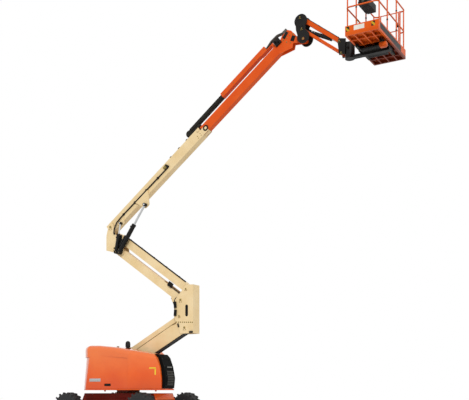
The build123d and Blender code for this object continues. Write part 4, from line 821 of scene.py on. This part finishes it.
# Hazard film: yellow and black bars 42 mm wide, leaning 45 degrees, so 60 mm along an edge.
bar_length = 0.06
hazard_film, tree = new_material("hazard_film")
add_node(tree, "TexCoord")
place = position(hazard_film)
total = add_node(tree, "Math", {"operation": "ADD"}, {0: place["X"], 1: place["Z"]})
total = add_node(tree, "Math", {"operation": "ADD"}, {0: total, 1: place["Y"]})
bars = add_node(tree, "Math", {"operation": "PINGPONG", 1: bar_length}, {0: total})
dark = add_node(tree, "Math", {"operation": "GREATER_THAN", 1: bar_length / 2}, {0: bars})
tone = add_node(tree, "Mix", {"data_type": "RGBA", 6: linear("#C9A024"), 7: linear("#16130E")}, {0: dark})
shader = add_node(tree, "BsdfPrincipled", {"Roughness": 0.4, "Specular IOR Level": 0.2},
                  {"Base Color": tone.outputs[2]})
add_node(tree, "OutputMaterial", {}, {"Surface": shader})
patch = pressed("corner_patches", (0.08, 0.1, 0.0015), [(0.003, 0.0003)])
on_basket = ("platform", "orange")
fit(patch, [at((x, side * high.y, toe_top - 0.072), (0, side, 0)) for x in (low.x + 0.06, high.x - 0.12)
            for side in (1, -1)], hazard_film, *on_basket)
# Plates left blank: white polyester film.
white_film = finish("white_film", ("#E6E2D6", "#F0EDE4"), 120, (0.3, 0.4), 0.05)
fit(pressed("toe_blank_plates", (0.24, 0.1, 0.0015), [(0.004, 0.0004)]),
    [at((middle_x - 0.06, side * high.y, toe_top - 0.075), (0, side, 0)) for side in (1, -1)], white_film,
    *on_basket)
rail_low, rail_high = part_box("platform_rails")
rail_radius, post_y = 0.016, 0.305
fit(ring("rail_clamps", 0.019, 0.0155, 0.03, 0.002, 24),
    [shift(x, y, z) for x in (rail_low.x + rail_radius, rail_high.x - rail_radius) for y in (-post_y, post_y)
    for z in (floor_top + 0.36, floor_top + 0.8)], black_plastic, *on_basket)
fit(pressed("post_feet", (0.05, 0.05, 0.02), [(0.006, 0.006)], edge=0.003),
    [shift(x, y, toe_top - 0.002) for x in (rail_low.x + 0.03, rail_high.x - 0.03)
     for y in (-0.82, -post_y, post_y, 0.82)], rail_enamel, *on_basket)
fit(ring("lanyard_eyes", 0.03, 0.018, 0.012, 0.004, 24),
    [at((rail_low.x + 0.05, 0.306 * side, floor_top + 0.5), (0, 1, 0)) for side in (-1, 1)], zinc_yellow,
    "platform", "black")
gate_low, gate_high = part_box("platform_gate")
fit(turned("gate_hinges", 0.02, 0.05, [(0.004, 0.004)], sides=24, edge=0.002),
    [shift(gate_low.x + 0.012, rail_high.y - rail_radius, z) for z in (gate_low.z + 0.12, gate_high.z - 0.2)],
    black_plastic, "platform_gate", "orange")
fit(pressed("gate_latch", (0.05, 0.09, 0.02), [(0.008, 0.008)], edge=0.004),
    [at((gate_high.x - 0.02, rail_high.y - 0.034, gate_high.z - 0.32), (0, -1, 0))], black_plastic,
    "platform_gate", "orange")
console_low, console_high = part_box("control_console")
console_x = console_low.x + 0.13
desk = shift(console_x, 0, console_high.z)
on_console = ("platform", "black_plastic")
fit(pressed("console_panel", (0.17, 0.5, 0.004), [(0.008, -0.002)], edge=0.001), [desk], plate_aluminium,
    *on_console)
fit(turned("joysticks", 0.03, 0.006, [(0.004, 0.004), (0.016, 0.012), (-0.006, 0.004), (0.0, 0.006)],
           edge=0.001), [desk @ shift(0.01, y, 0.003) for y in (-0.16, 0.02, 0.16)], black_plastic,
    *on_console)
fit(turned("console_stop", 0.012, 0.014, [(-0.008, 0.0), (0.0, 0.01), (0.008, 0.004)], edge=0.002),
    [desk @ shift(-0.04, -0.07, 0.003)], signal_red, *on_console)
fit(turned("console_toggles", 0.009, 0.006, [(0.004, 0.002), (0.002, 0.02)], sides=12, edge=0.001),
    [desk @ shift(x, y, 0.003) for x in (-0.05, 0.05) for y in (-0.2, -0.02, 0.07, 0.21)], chrome,
    *on_console)
fit(pressed("console_side_lamps", (0.06, 0.09, 0.02), [(0.008, 0.006)], edge=0.003),
    [at((console_x, side * 0.28, console_low.z + 0.07), (0, side, 0)) for side in (1, -1)], dusty_steel,
    *on_console)
fit(pressed("foot_switch", (0.16, 0.22, 0.03), [(0.012, 0.02), (0.02, 0.004)], edge=0.004),
    [shift(low.x + 0.22, -0.25, floor_top + 0.004)], black_plastic, "platform", "black")
fit(pressed("carrier_pan", (0.56, 0.5, 0.014), [(0.03, 0.012), (0.02, -0.004)], edge=0.003),
    [at((middle_x - 0.05, 0, underside), (0, 0, -1), pi / 2)], black_enamel, "platform", "black")
fit(pressed("belly_bracket", (0.16, 0.12, 0.08), [(0.012, 0.02)], edge=0.005),
    [at((low.x + 0.66, -0.33, underside), (0, 0, -1))], platform_enamel, "platform", "black")
fit(bolt("beam_bolts", 0.01), [at((x, y, underside), (0, 0, -1)) for x in (low.x + 0.07, high.x - 0.12)
                               for y in (-0.39, -0.2, 0.2, 0.39)], zinc_yellow, "platform", "black")
